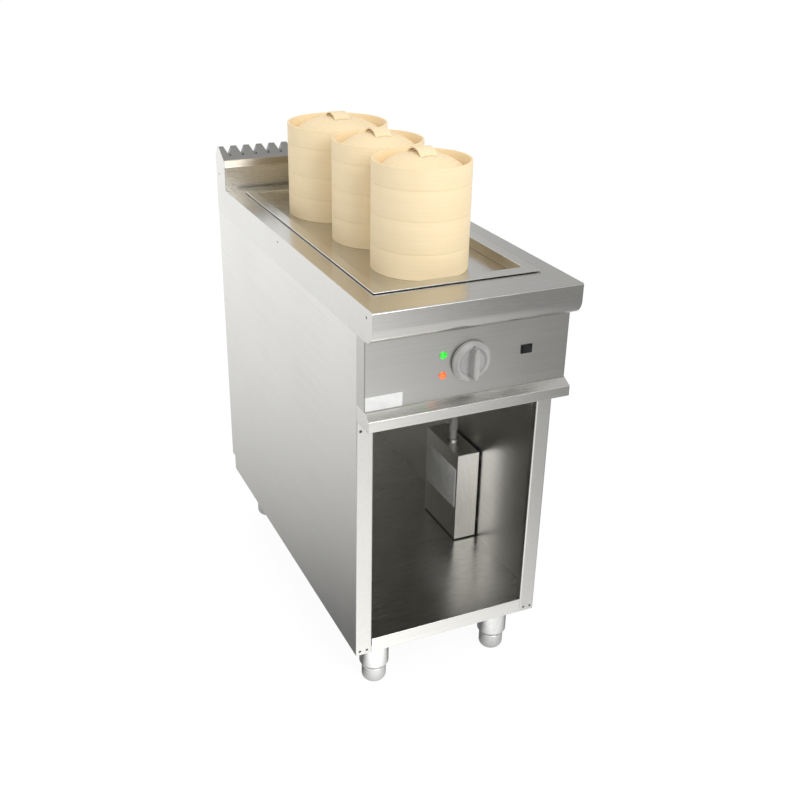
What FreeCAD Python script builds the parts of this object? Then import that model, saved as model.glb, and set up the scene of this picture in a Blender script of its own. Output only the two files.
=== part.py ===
import FreeCAD, Part
import math
import os
import Sketcher

V = FreeCAD.Vector
doc = FreeCAD.newDocument("BasketSteamer")

# Driving sizes in millimetres: name, value, meaning
SIZES = (
    ("width", 400.0, "cabinet width"),
    ("work_height", 850.0, "floor to worktop"),
    ("gauge", 1.5, "sheet thickness"),
    ("bend", 1.5, "inside radius of a fold"),
    ("nose_height", 60.0, "worktop nose and apron height"),
    ("nose_radius", 28.0, "outer radius under the nose"),
    ("panel_setback", 32.0, "nose to control panel face"),
    ("panel_height", 130.0, "control panel height"),
    ("post_setback", 65.0, "nose to front post face"),
    ("post_width", 33.0, "front post face width"),
    ("post_return", 15.0, "front post return behind its face"),
    ("rear_flange", 25.0, "side panel rear flange"),
    ("rear_inset", 22.0, "rear panel behind the side panel edge"),
    ("notch_height", 37.0, "notch at the lower rear corner of a side panel"),
    ("lip_setback", 12.5, "nose to front of the lip"),
    ("lip_slope", 11.0, "fall of the sloped top of the lip"),
    ("lip_face", 20.0, "upright face of the lip"),
    ("lip_tab", 12.0, "tab of the lip behind the control panel"),
    ("leg_height", 115.0, "floor to underside of the cabinet"),
    ("rail_height", 31.0, "front rail of the compartment floor"),
    ("ceiling_drop", 20.0, "compartment ceiling below the control panel"),
    ("fit_gap", 0.3, "gap between fixed sheets"),
    ("channel_width", 76.0, "base channel width"),
    ("foot_spread", 137.0, "foot axis from the middle of the cabinet"),
    ("foot_front", 122.0, "front foot axis behind the nose"),
    ("foot_rear", 82.0, "rear foot axis before the back edge"),
    ("socket_radius", 30.0, "foot socket radius"),
    ("socket_taper", 8.0, "height of the taper at the socket mouth"),
    ("sleeve_radius", 25.0, "foot sleeve radius"),
    ("sleeve_height", 38.0, "foot sleeve height"),
    ("sleeve_round", 14.0, "rounding under the foot sleeve"),
    ("sleeve_bands", 3.0, "flat bands that make that rounding"),
    ("stem_radius", 5.0, "foot stem radius"),
    ("stem_length", 60.0, "foot stem above the sleeve"),
    ("stem_gap", 0.06, "running gap around the foot stem"),
    ("flue_depth", 68.0, "flue upstand front to back"),
    ("splash_height", 52.0, "upright part of the splash back"),
    ("splash_rise", 15.0, "leaning strip above the splash back"),
    ("splash_lean", 7.0, "how far that strip leans back"),
    ("grille_run", 37.0, "grille front to back"),
    ("grille_rise", 24.0, "grille height over its run"),
    ("groove_count", 13.0, "grooves across the grille"),
    ("groove_pitch", 30.0, "groove to groove"),
    ("groove_mouth", 17.0, "groove width at the tooth tips"),
    ("groove_root", 4.0, "groove width at its bottom"),
    ("groove_depth", 15.5, "groove depth at the back of the grille"),
    ("vent_radius", 3.2, "vent hole at the foot of a groove"),
    ("vent_place", 14.5, "vent hole behind the front of the grille"),
    ("cap_crown", 8.0, "flat top of a flue end cap behind the grille"),
    ("front_margin", 81.5, "nose to tank flange"),
    ("side_margin", 37.0, "side to tank flange"),
    ("rear_margin", 24.0, "tank flange to splash back"),
    ("flange_front", 28.5, "tank flange width at the front"),
    ("flange_side", 22.0, "tank flange width at the sides"),
    ("flange_rear", 22.0, "tank flange width at the rear"),
    ("gasket", 1.5, "seal thickness under the tank flange"),
    ("gasket_inset", 6.0, "seal edge inside the flange edge"),
    ("recess_depth", 20.5, "flange top to deck top"),
    ("recess_corner", 8.0, "corner radius of the recess"),
    ("deck", 2.0, "deck plate thickness"),
    ("deck_gap", 0.6, "gap around the deck plate"),
    ("ledge", 16.0, "ledge that carries the deck"),
    ("well_depth", 125.0, "ledge to tank bottom"),
    ("cutout_gap", 2.0, "worktop cut-out around the recess"),
    ("element_radius", 4.25, "heating tube radius"),
    ("element_rise", 34.0, "heating tubes above the tank bottom"),
    ("element_pitch", 52.0, "leg to leg of a heating tube"),
    ("element_spread", 54.0, "heating loop from the middle of the tank"),
    ("element_reach", 560.0, "straight length of a heating tube in the tank"),
    ("element_stub", 14.0, "heating tube before its plate"),
    ("element_nut", 7.5, "radius of the nut on a heating tube"),
    ("element_nut_height", 6.0, "height of that nut"),
    ("plate_thickness", 4.0, "heating element plate"),
    ("plate_border", 16.0, "plate border around the tubes"),
    ("hole_gap", 0.3, "gap around a tube in a sheet"),
    ("drain_radius", 11.0, "drain pipe outer radius"),
    ("drain_wall", 2.0, "drain pipe wall"),
    ("drain_bend", 20.0, "reach of the mitred drain elbow"),
    ("drain_place", 46.0, "drain before the rear wall of the well"),
    ("inlet_radius", 8.0, "water inlet pipe outer radius"),
    ("inlet_wall", 1.6, "water inlet pipe wall"),
    ("inlet_offset", 80.0, "water inlet from the middle"),
    ("inlet_drop", 56.0, "water inlet under the deck ledge"),
    ("spout", 18.0, "pipe ends behind the rear panel"),
    ("tail", 15.0, "length of the thicker tail of a pipe"),
    ("tail_wall", 2.0, "extra wall on that tail"),
    ("gland_inset", 60.0, "cable gland from the right side"),
    ("gland_rise", 60.0, "cable gland above the compartment ceiling"),
    ("gland_bore", 7.0, "cable gland bore radius"),
    ("gland_thread", 10.0, "cable gland thread radius"),
    ("gland_collar", 14.0, "cable gland collar radius"),
    ("knob_rise", 65.0, "knob axis above the panel's lower edge"),
    ("knob_radius", 37.0, "knob skirt radius"),
    ("knob_skirt", 12.0, "knob skirt height"),
    ("knob_dish", 4.0, "depth of the dish around the grip"),
    ("knob_height", 29.0, "knob height over the panel"),
    ("knob_gap", 1.5, "knob to control panel"),
    ("grip_width", 15.0, "grip bar width"),
    ("grip_length", 60.0, "grip bar length"),
    ("dot_radius", 2.2, "pointer dimple radius"),
    ("shaft_radius", 3.0, "thermostat shaft radius"),
    ("shaft_gap", 0.05, "running gap around the thermostat shaft"),
    ("shaft_grip", 14.0, "shaft length in the knob"),
    ("bush_radius", 5.0, "thermostat bush radius"),
    ("bush_proud", 1.0, "thermostat bush before the panel"),
    ("thermostat_size", 44.0, "thermostat body width and height"),
    ("thermostat_depth", 34.0, "thermostat body depth"),
    ("lamp_offset", 53.0, "lamps left of the middle"),
    ("green_rise", 82.5, "upper lamp above the panel's lower edge"),
    ("orange_rise", 44.5, "lower lamp above the panel's lower edge"),
    ("lens_radius", 7.0, "lamp lens radius"),
    ("lens_height", 4.0, "lamp lens height"),
    ("lamp_radius", 5.6, "lamp housing radius"),
    ("lamp_depth", 26.0, "lamp housing behind the panel"),
    ("switch_offset", 113.0, "switch right of the middle"),
    ("switch_rise", 69.0, "switch above the panel's lower edge"),
    ("bezel_width", 22.4, "switch bezel width"),
    ("bezel_height", 16.4, "switch bezel height"),
    ("bezel_proud", 1.6, "switch bezel before the panel"),
    ("switch_border", 1.0, "bezel beyond the switch body"),
    ("switch_wall", 0.7, "switch body wall"),
    ("switch_depth", 20.0, "switch body behind the panel"),
    ("rocker_side", 1.4, "rocker clearance at its ends"),
    ("rocker_gap", 0.4, "rocker clearance above and below"),
    ("rocker_throw", 2.1, "how far the high end of the rocker stands out"),
    ("rocker_pivot", 2.0, "rocker pivot behind the bezel face"),
    ("rocker_belly", 4.6, "rocker below its pivot"),
    ("rocker_room", 8.0, "switch cavity behind the panel face"),
    ("trunnion_radius", 1.2, "rocker trunnion radius"),
    ("trunnion_gap", 0.05, "running gap around a trunnion"),
    ("box_front", 314.0, "nose to junction box front"),
    ("box_depth", 153.0, "junction box front to back"),
    ("box_width", 51.5, "junction box width"),
    ("box_height", 212.5, "junction box height"),
    ("box_wall_gap", 4.5, "junction box to the right wall"),
    ("box_floor_gap", 3.5, "junction box above the compartment floor"),
    ("standoff_radius", 6.0, "junction box standoff radius"),
    ("standoff_inset", 24.0, "standoff from the box edges"),
    ("box_hole", 2.6, "small hole in the top of the box"),
    ("box_hole_inset", 20.0, "that hole before the back of the box"),
    ("conduit_radius", 10.0, "conduit radius over its ribs"),
    ("conduit_root", 8.3, "conduit radius between its ribs"),
    ("conduit_bore", 6.6, "conduit bore radius"),
    ("conduit_ribs", 20.0, "ribs along the conduit"),
    ("fitting_radius", 13.0, "conduit fitting radius"),
    ("fitting_height", 3.0, "conduit fitting flange"),
    ("fitting_spigot", 10.0, "conduit fitting through its sheet"),
    ("screw_radius", 2.4, "screw radius"),
    ("screw_length", 7.0, "screw length"),
    ("screw_gap", 0.3, "gap around a screw"),
    ("screw_sink", 0.4, "screw head below the surface"),
    ("nut_radius", 4.4, "clinch nut radius behind the sheet"),
    ("nut_height", 3.0, "clinch nut height"),
    ("post_screw_edge", 8.0, "outer post screw from the side"),
    ("post_screw_pitch", 15.0, "post screw to post screw"),
    ("post_screw_rise", 8.5, "post screws above the underside"),
    ("post_screw_top", 53.0, "upper post screw below the control panel"),
    ("apron_screw_drop", 15.3, "apron screws below the worktop"),
    ("apron_screw_front", 24.5, "front apron screw behind the nose"),
    ("apron_screw_middle", 471.5, "middle apron screw behind the nose"),
    ("cap_screw_back", 21.0, "end cap screw before the back edge"),
    ("cap_screw_rise", 29.0, "end cap screw above the worktop"),
    ("front_stack_margin", 43.0, "recess front to the front basket"),
    ("front_stack_gap", 14.5, "front basket to middle basket"),
    ("rear_stack_gap", 17.0, "middle basket to rear basket"),
    ("rear_stack_margin", 28.0, "rear basket to recess rear"),
    ("front_radius", 91.2, "front basket radius"),
    ("middle_radius", 90.1, "middle basket radius"),
    ("rear_radius", 105.45, "rear basket radius"),
    ("front_lower", 46.5, "front stack, lower tier height"),
    ("front_middle", 59.5, "front stack, middle tier height"),
    ("front_upper", 55.0, "front stack, upper tier height"),
    ("front_rim", 38.0, "front stack, lid hoop height"),
    ("middle_lower", 49.0, "middle stack, lower tier height"),
    ("middle_middle", 57.0, "middle stack, middle tier height"),
    ("middle_upper", 55.5, "middle stack, upper tier height"),
    ("middle_rim", 35.0, "middle stack, lid hoop height"),
    ("rear_lower", 47.0, "rear stack, lower tier height"),
    ("rear_middle", 45.0, "rear stack, middle tier height"),
    ("rear_upper", 58.5, "rear stack, upper tier height"),
    ("rear_rim", 40.0, "rear stack, lid hoop height"),
    ("hoop", 4.0, "basket hoop wall"),
    ("lining", 4.0, "basket lining wall"),
    ("seam", 1.2, "bevel at the lower edge of a hoop"),
    ("nest_depth", 5.0, "how far a tier nests in the one below"),
    ("nest_room", 1.0, "room under a nested tier"),
    ("nest_gap", 0.4, "gap around a nested tier"),
    ("slat_rise", 1.0, "slats above the hoop's lower edge"),
    ("slat_thickness", 3.0, "slat thickness"),
    ("slat_count", 8.0, "slats in a floor"),
    ("slat_pitch", 17.0, "slat to slat"),
    ("slat_width", 11.0, "slat width"),
    ("slat_seat", 2.0, "groove in the lining that holds the slat ends"),
    ("dome_drop", 24.0, "edge of the lid dome below its rim"),
    ("dome_crown", 12.0, "top of the lid dome above its rim"),
    ("dome_wall", 2.5, "lid dome thickness"),
    ("dome_bands", 4.0, "flat bands from the crown of the dome to its edge"),
    ("strap_width", 33.0, "lid handle strap width"),
    ("strap_reach", 27.0, "strap ends from the middle of the lid"),
    ("strap_gap", 6.0, "finger gap under the strap"),
    ("strap_thickness", 2.5, "strap thickness"),
    ("strap_sink", 0.4, "strap ends below the surface of the dome"),
)

sheet = doc.addObject("Spreadsheet::Sheet", "Sizes")
for row, (alias, value, meaning) in enumerate(SIZES, 1):
    sheet.set("A%d" % row, meaning)
    sheet.set("B%d" % row, str(value))
    sheet.setAlias("B%d" % row, alias)
doc.recompute()


class Size:
    """A length with the sheet formula that gives it."""

    def __init__(self, value, formula):
        self.value = value
        self.formula = formula

    def join(self, other, sign, value):
        return Size(value, "(%s %s %s)" % (self.formula, sign, other.formula))

    def __add__(self, other):
        other = as_size(other)
        return self.join(other, "+", self.value + other.value)

    def __sub__(self, other):
        other = as_size(other)
        return self.join(other, "-", self.value - other.value)

    def __mul__(self, other):
        other = as_size(other)
        return self.join(other, "*", self.value * other.value)

    def __truediv__(self, other):
        other = as_size(other)
        return self.join(other, "/", self.value / other.value)

    def __radd__(self, other):
        return as_size(other) + self

    def __rsub__(self, other):
        return as_size(other) - self

    def __rmul__(self, other):
        return self * other

    def __neg__(self):
        return Size(-self.value, "(0 - %s)" % self.formula)


def as_size(number):
    if isinstance(number, Size):
        return number
    return Size(float(number), "(%r)" % float(number))


def root(size):
    return Size(math.sqrt(size.value), "sqrt(%s)" % size.formula)


class Sheet:
    """The sheet's cells by name."""


S = Sheet()
for alias, value, meaning in SIZES:
    setattr(S, alias, Size(float(getattr(sheet, alias)), "Sizes." + alias))

ZERO = as_size(0)
AXES = {"XY_Plane": ("X", "Y"), "XZ_Plane": ("X", "Z"), "YZ_Plane": ("Y", "Z")}
LEFT, RIGHT = -1, 1
finished = []


# Building helpers
def keep(item):
    finished.append(item)
    return item


def body(label):
    item = doc.addObject("PartDesign::Body", label)
    item.Label = label
    return item


def place(item, x=ZERO, y=ZERO, z=ZERO, turn=None):
    """Put an item at a point of the sheet's formulas, after an optional turn about X in degrees."""
    if turn is not None:
        item.Placement = FreeCAD.Placement(V(0, 0, 0), FreeCAD.Rotation(V(1, 0, 0), turn))
    for axis, size in (("x", x), ("y", y), ("z", z)):
        item.setExpression("Placement.Base." + axis, size.formula)
    return item


def sketch(item, role, level=None):
    drawing = item.newObject("Sketcher::SketchObject", item.Name + "_sketch")
    plane = [feature for feature in item.Origin.OriginFeatures if feature.Role == role][0]
    drawing.AttachmentSupport = (plane, [""])
    drawing.MapMode = "FlatFace"
    if level is not None:
        drawing.setExpression("AttachmentOffset.Base.z", level.formula)
    return drawing


def constrain(drawing, kind, where, size):
    number = drawing.addConstraint(Sketcher.Constraint(kind, *where, size.value))
    drawing.setExpression("Constraints[%d]" % number, size.formula)


def arc_between(start, end, radius, turn):
    """Arc from start to end; a turn of 1 runs counter-clockwise, -1 clockwise."""
    chord = end - start
    side = V(-chord.y, chord.x, 0).normalize() * turn
    reach = max(radius * radius - chord.Length * chord.Length / 4, 0)
    centre = (start + end) / 2 + side * math.sqrt(reach)
    first, last = (start, end) if turn > 0 else (end, start)
    angles = [math.atan2(point.y - centre.y, point.x - centre.x) for point in (first, last)]
    return Part.ArcOfCircle(Part.Circle(centre, V(0, 0, 1), radius), *angles)


def outline(drawing, corners, closed=True):
    """Draw sides between corners; a corner with a radius and a turn starts an arc."""
    points = [V(corner[0].value, corner[1].value, 0) for corner in corners]
    count = len(corners)
    ends = []
    for number in range(count if closed else count - 1):
        start, end = points[number], points[(number + 1) % count]
        if len(corners[number]) > 2:
            radius, turn = corners[number][2:]
            geo = drawing.addGeometry(arc_between(start, end, radius.value, turn))
            ends.append((geo, 1, 2) if turn > 0 else (geo, 2, 1))
            constrain(drawing, "Radius", (geo,), radius)
        else:
            geo = drawing.addGeometry(Part.LineSegment(start, end))
            ends.append((geo, 1, 2))
    for number, (geo, head, tail) in enumerate(ends):
        if closed or number < len(ends) - 1:
            after = ends[(number + 1) % len(ends)]
            drawing.addConstraint(Sketcher.Constraint("Coincident", geo, tail, after[0], after[1]))
        constrain(drawing, "DistanceX", (-1, 1, geo, head), corners[number][0])
        constrain(drawing, "DistanceY", (-1, 1, geo, head), corners[number][1])
    if not closed:
        geo, head, tail = ends[-1]
        constrain(drawing, "DistanceX", (-1, 1, geo, tail), corners[-1][0])
        constrain(drawing, "DistanceY", (-1, 1, geo, tail), corners[-1][1])


def rectangle(drawing, low_x, high_x, low_y, high_y):
    outline(drawing, [(low_x, low_y), (high_x, low_y), (high_x, high_y), (low_x, high_y)])


def circle(drawing, x, y, radius):
    geo = drawing.addGeometry(Part.Circle(V(x.value, y.value, 0), V(0, 0, 1), radius.value))
    constrain(drawing, "DistanceX", (-1, 1, geo, 3), x)
    constrain(drawing, "DistanceY", (-1, 1, geo, 3), y)
    constrain(drawing, "Radius", (geo,), radius)


def pad(item, drawing, length, both=False):
    feature = item.newObject("PartDesign::Pad", item.Name + "_pad")
    feature.Profile = drawing
    feature.setExpression("Length", length.formula)
    if both:
        feature.SideType = "Symmetric"
    doc.recompute()
    return feature


def pocket(item, drawing, length=None, reverse=False):
    """Cut to a depth, or through everything both ways when no depth is given."""
    before = item.Tip.Shape.Volume
    feature = item.newObject("PartDesign::Pocket", item.Name + "_pocket")
    feature.Profile = drawing
    if length is None:
        feature.Type = "ThroughAll"
        feature.SideType = "Symmetric"
    else:
        feature.setExpression("Length", length.formula)
        feature.Reversed = reverse
    doc.recompute()
    if feature.Shape.Volume > before - 0.1:
        raise RuntimeError("pocket cuts nothing: " + item.Label)
    return feature


def revolve(item, drawing):
    feature = item.newObject("PartDesign::Revolution", item.Name + "_revolution")
    feature.Profile = drawing
    feature.ReferenceAxis = (drawing, ["V_Axis"])
    feature.Angle = 360
    doc.recompute()
    return feature


def groove(item, drawing):
    before = item.Tip.Shape.Volume
    feature = item.newObject("PartDesign::Groove", item.Name + "_groove")
    feature.Profile = drawing
    feature.ReferenceAxis = (drawing, ["V_Axis"])
    feature.Angle = 360
    doc.recompute()
    if feature.Shape.Volume > before - 0.1:
        raise RuntimeError("groove cuts nothing: " + item.Label)
    return feature


def edges_at(item, **at):
    """Names of the edges of an item that lie at the given coordinates all along."""
    names = []
    for number, edge in enumerate(item.Tip.Shape.Edges, 1):
        box = edge.BoundBox
        gaps = []
        for axis, size in at.items():
            gaps.append(abs(getattr(box, axis + "Min") - size.value))
            gaps.append(abs(getattr(box, axis + "Max") - size.value))
        if max(gaps) < 0.001:
            names.append("Edge%d" % number)
    return names


def fillet(item, names, radius):
    base = item.Tip
    feature = item.newObject("PartDesign::Fillet", item.Name + "_fillet")
    feature.Base = (base, names)
    feature.setExpression("Radius", radius.formula)
    doc.recompute()
    return feature


def chamfer(item, names, size):
    base = item.Tip
    feature = item.newObject("PartDesign::Chamfer", item.Name + "_chamfer")
    feature.Base = (base, names)
    feature.setExpression("Size", size.formula)
    doc.recompute()
    return feature


def round_corners(item, role, corners, radius):
    """Fillet the edges that a sketch's corners make."""
    first, second = AXES[role]
    names = []
    for x, y in corners:
        names += edges_at(item, **{first: x, second: y})
    return fillet(item, names, radius)


def inset(route, gauge):
    """The inner face of a sheet folded square along a route of its outer face."""
    steps = [(b[0].value - a[0].value, b[1].value - a[1].value) for a, b in zip(route, route[1:])]
    turn = math.copysign(1, steps[0][0] * steps[1][1] - steps[0][1] * steps[1][0])
    normals = [(0, 0)]
    for dx, dy in steps:
        length = math.hypot(dx, dy)
        normals.append((round(-dy / length * turn), round(dx / length * turn)))
    normals.append((0, 0))
    inner = []
    for number, (x, y) in enumerate(route):
        before, after = normals[number], normals[number + 1]
        inner.append((x + gauge * (before[0] + after[0]), y + gauge * (before[1] + after[1])))
    return inner


def fold(item, role, route, length, level=None, both=False, rounded=True):
    """Folded sheet with rounded bends; returns the inner face's corners."""
    inner = inset(route, S.gauge)
    drawing = sketch(item, role, level)
    outline(drawing, route + inner[::-1])
    pad(item, drawing, length, both)
    if rounded:
        round_corners(item, role, route[1:-1], S.bend + S.gauge)
        round_corners(item, role, inner[1:-1], S.bend)
    return inner


def box(name, x, y, z):
    item = doc.addObject("Part::Box", name)
    for side, axis, (low, high) in (("Length", "x", x), ("Width", "y", y), ("Height", "z", z)):
        item.setExpression(side, (high - low).formula)
        item.setExpression("Placement.Base." + axis, low.formula)
    return item


def cylinder(name, radius, length, x=ZERO, y=ZERO, z=ZERO, along="z"):
    """Round bar that starts at a point and runs along an axis."""
    item = doc.addObject("Part::Cylinder", name)
    item.setExpression("Radius", radius.formula)
    item.setExpression("Height", length.formula)
    turns = {"x": (V(0, 1, 0), 90), "y": (V(1, 0, 0), -90), "z": (V(0, 0, 1), 0)}
    item.Placement = FreeCAD.Placement(V(0, 0, 0), FreeCAD.Rotation(*turns[along]))
    return place(item, x, y, z)


def fuse(label, members):
    item = doc.addObject("Part::MultiFuse", label)
    item.Shapes = members
    item.Label = label
    return item


def group(label, members):
    """Several like solids under one name."""
    item = doc.addObject("Part::Compound", label)
    item.Links = members
    item.Label = label
    return item


# Levels and lines that pieces share
half = S.width / 2
skin = half - S.gauge
recess_half = half - S.side_margin - S.flange_side
baskets = 2 * (S.front_radius + S.middle_radius + S.rear_radius) + S.front_stack_gap + S.rear_stack_gap
recess_length = S.front_stack_margin + baskets + S.rear_stack_margin
tank_length = S.flange_front + recess_length + S.flange_rear
depth = S.front_margin + tank_length + S.rear_margin + S.flue_depth
front = -(depth / 2)
back = depth / 2
side_top = S.work_height - S.nose_height
panel_face = front + S.panel_setback
panel_back = panel_face + S.gauge
panel_bottom = side_top - S.panel_height
post_face = front + S.post_setback
post_edge = half - S.post_width
floor_top = S.leg_height + S.rail_height
rear_face = back - S.rear_inset
rear_inner = rear_face - S.gauge
ceiling = panel_bottom - S.ceiling_drop
flange_low = S.work_height + S.gasket
flange_top = flange_low + S.gauge
deck_top = flange_top - S.recess_depth
ledge_top = deck_top - S.deck
well_bottom = ledge_top - S.well_depth
flange_begin = front + S.front_margin
recess_begin = flange_begin + S.flange_front
recess_end = recess_begin + recess_length
flange_end = recess_end + S.flange_rear
well_begin = recess_begin + S.ledge
well_end = recess_end - S.ledge
well_half = recess_half - S.ledge
flue_front = back - S.flue_depth
splash_top = S.work_height + S.splash_height
roof = splash_top + S.splash_rise
grille_begin = flue_front + S.splash_lean
grille_end = grille_begin + S.grille_run
grille_top = roof + S.grille_rise
front_stack = recess_begin + S.front_stack_margin + S.front_radius
middle_stack = front_stack + S.front_radius + S.front_stack_gap + S.middle_radius
rear_stack = middle_stack + S.middle_radius + S.rear_stack_gap + S.rear_radius
apron_screws = S.work_height - S.apron_screw_drop
screw_hole = S.screw_radius + S.screw_gap
post_screw_spots = (
    (half - S.post_screw_edge, S.leg_height + S.post_screw_rise),
    (half - S.post_screw_edge - S.post_screw_pitch, S.leg_height + S.post_screw_rise),
    (half - S.post_screw_edge, panel_bottom - S.post_screw_top),
)
apron_screw_spots = (
    (front + S.apron_screw_front, apron_screws),
    (front + S.apron_screw_middle, apron_screws),
)
cap_screw_spot = (back - S.cap_screw_back, S.work_height + S.cap_screw_rise)


# Side panels: one folded sheet each, with the front post and the rear flange
def side_panel(label, hand):
    item = body(label)
    route = [
        (hand * (half - S.rear_flange), back),
        (hand * half, back),
        (hand * half, post_face),
        (hand * post_edge, post_face),
        (hand * post_edge, post_face + S.post_return),
    ]
    fold(item, "XY_Plane", route, side_top - S.leg_height, level=S.leg_height)
    notch = sketch(item, "YZ_Plane")
    rectangle(notch, rear_face, back + S.gauge, S.leg_height - S.gauge, S.leg_height + S.notch_height)
    pocket(item, notch)
    holes = sketch(item, "XZ_Plane", -post_face)
    for x, z in post_screw_spots:
        circle(holes, hand * x, z, screw_hole)
    pocket(item, holes, S.gauge * 1.5)
    return keep(item)


side_panel("side_panel_left", LEFT)
side_panel("side_panel_right", RIGHT)

# Compartment floor with its front rail and rear flange
shelf = keep(body("base_shelf"))
drawing = sketch(shelf, "XY_Plane", floor_top - S.gauge)
shelf_front = post_edge - S.fit_gap
shelf_step = post_face + S.post_return + S.fit_gap
outline(drawing, [
    (-shelf_front, post_face), (shelf_front, post_face), (shelf_front, shelf_step), (skin, shelf_step),
    (skin, rear_inner), (-skin, rear_inner), (-skin, shelf_step), (-shelf_front, shelf_step),
])
pad(shelf, drawing, S.gauge)
drawing = sketch(shelf, "XY_Plane", S.leg_height)
rectangle(drawing, -shelf_front, shelf_front, post_face, post_face + S.gauge)
rectangle(drawing, -skin, skin, rear_inner - S.gauge, rear_inner)
pad(shelf, drawing, S.rail_height - S.gauge)
round_corners(shelf, "YZ_Plane", [(post_face, floor_top)], S.bend)

# Channels under the floor that carry the feet
channels = []
for name, hand in (("left_channel", LEFT), ("right_channel", RIGHT)):
    channel = body(name)
    low = hand * S.foot_spread - S.channel_width / 2
    high = hand * S.foot_spread + S.channel_width / 2
    channel_top = floor_top - S.gauge
    route = [(low, channel_top), (low, S.leg_height), (high, S.leg_height), (high, channel_top)]
    channel_end = rear_inner - S.gauge
    fold(channel, "XZ_Plane", route, channel_end - post_face - S.post_return - S.gauge, level=-channel_end)
    channels.append(channel)
keep(group("base_channels", channels))

# Rear panel with the holes for the gland, the drain and the water inlet
gland_x = half - S.gland_inset
gland_z = ceiling + S.gland_rise
drain_z = well_bottom - S.gauge - 2 * S.drain_bend
drain_y = well_end - S.drain_place
inlet_z = ledge_top - S.inlet_drop
rear = keep(body("rear_panel"))
drawing = sketch(rear, "XZ_Plane", -rear_face)
rectangle(drawing, -skin, skin, S.leg_height, side_top)
circle(drawing, gland_x, gland_z, S.gland_thread + S.hole_gap)
circle(drawing, ZERO, drain_z, S.drain_radius + S.hole_gap)
circle(drawing, -S.inlet_offset, inlet_z, S.inlet_radius + S.hole_gap)
pad(rear, drawing, S.gauge)

# Compartment ceiling with the conduit hole
box_right = skin - S.box_wall_gap
box_left = box_right - S.box_width
box_begin = front + S.box_front
box_end = box_begin + S.box_depth
box_bottom = floor_top + S.box_floor_gap
box_top = box_bottom + S.box_height
conduit_x = (box_left + box_right) / 2
conduit_y = box_begin + S.box_depth / 2
spigot_hole = S.conduit_root + S.hole_gap
top_sheet = keep(body("compartment_ceiling"))
drawing = sketch(top_sheet, "XY_Plane", ceiling)
rectangle(drawing, -skin, skin, shelf_step, rear_inner)
circle(drawing, conduit_x, conduit_y, spigot_hole)
pad(top_sheet, drawing, S.gauge)

# Worktop: folded sheet with a rounded nose, closed ends, tank cut-out and flue slot
worktop = keep(body("worktop"))
route = [
    (back, side_top),
    (back, S.work_height),
    (front, S.work_height),
    (front, side_top),
    (panel_back, side_top),
]
inner = fold(worktop, "YZ_Plane", route, S.width, both=True, rounded=False)
for level in (-half, skin):
    drawing = sketch(worktop, "YZ_Plane", level)
    outline(drawing, route[:4])
    pad(worktop, drawing, S.gauge)
round_corners(worktop, "YZ_Plane", [route[3]], S.nose_radius)
round_corners(worktop, "YZ_Plane", [inner[3]], S.nose_radius - S.gauge)
round_corners(worktop, "YZ_Plane", route[1:3], S.bend + S.gauge)
cutout = S.gauge + S.cutout_gap
drawing = sketch(worktop, "XY_Plane", S.work_height)
rectangle(drawing, -recess_half - cutout, recess_half + cutout, recess_begin - cutout, recess_end + cutout)
slot_half = half - S.rear_flange
rectangle(drawing, -slot_half, slot_half, flue_front + S.rear_inset / 2, back - S.rear_inset / 2)
pocket(worktop, drawing, S.gauge * 1.5)
drawing = sketch(worktop, "YZ_Plane")
for y, z in apron_screw_spots:
    circle(drawing, y, z, screw_hole)
pocket(worktop, drawing)

# Control panel with its side returns and the holes for the controls
knob_z = panel_bottom + S.knob_rise
green_z = panel_bottom + S.green_rise
orange_z = panel_bottom + S.orange_rise
switch_z = panel_bottom + S.switch_rise
switch_half_x = S.bezel_width / 2 - S.switch_border
switch_half_z = S.bezel_height / 2 - S.switch_border
panel = keep(body("control_panel"))
route = [(-half, post_face), (-half, panel_face), (half, panel_face), (half, post_face)]
fold(panel, "XY_Plane", route, S.panel_height, level=panel_bottom)
drawing = sketch(panel, "XZ_Plane", -panel_face)
circle(drawing, ZERO, knob_z, S.bush_radius + S.hole_gap)
circle(drawing, -S.lamp_offset, green_z, S.lamp_radius + S.hole_gap)
circle(drawing, -S.lamp_offset, orange_z, S.lamp_radius + S.hole_gap)
rectangle(
    drawing,
    S.switch_offset - switch_half_x - S.hole_gap, S.switch_offset + switch_half_x + S.hole_gap,
    switch_z - switch_half_z - S.hole_gap, switch_z + switch_half_z + S.hole_gap,
)
pocket(panel, drawing, S.gauge * 1.5)

# Lip under the control panel: tab, sloped top, upright face and return to the posts
lip = keep(body("front_lip"))
lip_front = front + S.lip_setback
lip_crest = panel_bottom - S.lip_slope
lip_low = lip_crest - S.lip_face
shell = [
    (panel_back, panel_bottom),
    (lip_front, lip_crest),
    (lip_front, lip_low),
    (post_face, lip_low),
]
lining = [
    (post_face, lip_low + S.gauge),
    (lip_front + S.gauge, lip_low + S.gauge),
    (lip_front + S.gauge, lip_crest - S.gauge),
    (panel_back + S.gauge, panel_bottom - S.gauge),
]
drawing = sketch(lip, "YZ_Plane")
outline(drawing, shell + lining)
pad(lip, drawing, 2 * skin, both=True)
for level in (-half, skin):
    drawing = sketch(lip, "YZ_Plane", level)
    outline(drawing, shell + [(post_face, panel_bottom)])
    pad(lip, drawing, S.gauge)
round_corners(lip, "YZ_Plane", shell[1:3], S.bend)
drawing = sketch(lip, "YZ_Plane")
rectangle(drawing, panel_back, panel_back + S.gauge, panel_bottom - S.gauge, panel_bottom + S.lip_tab)
pad(lip, drawing, 2 * (skin - S.bend - S.fit_gap), both=True)

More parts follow.
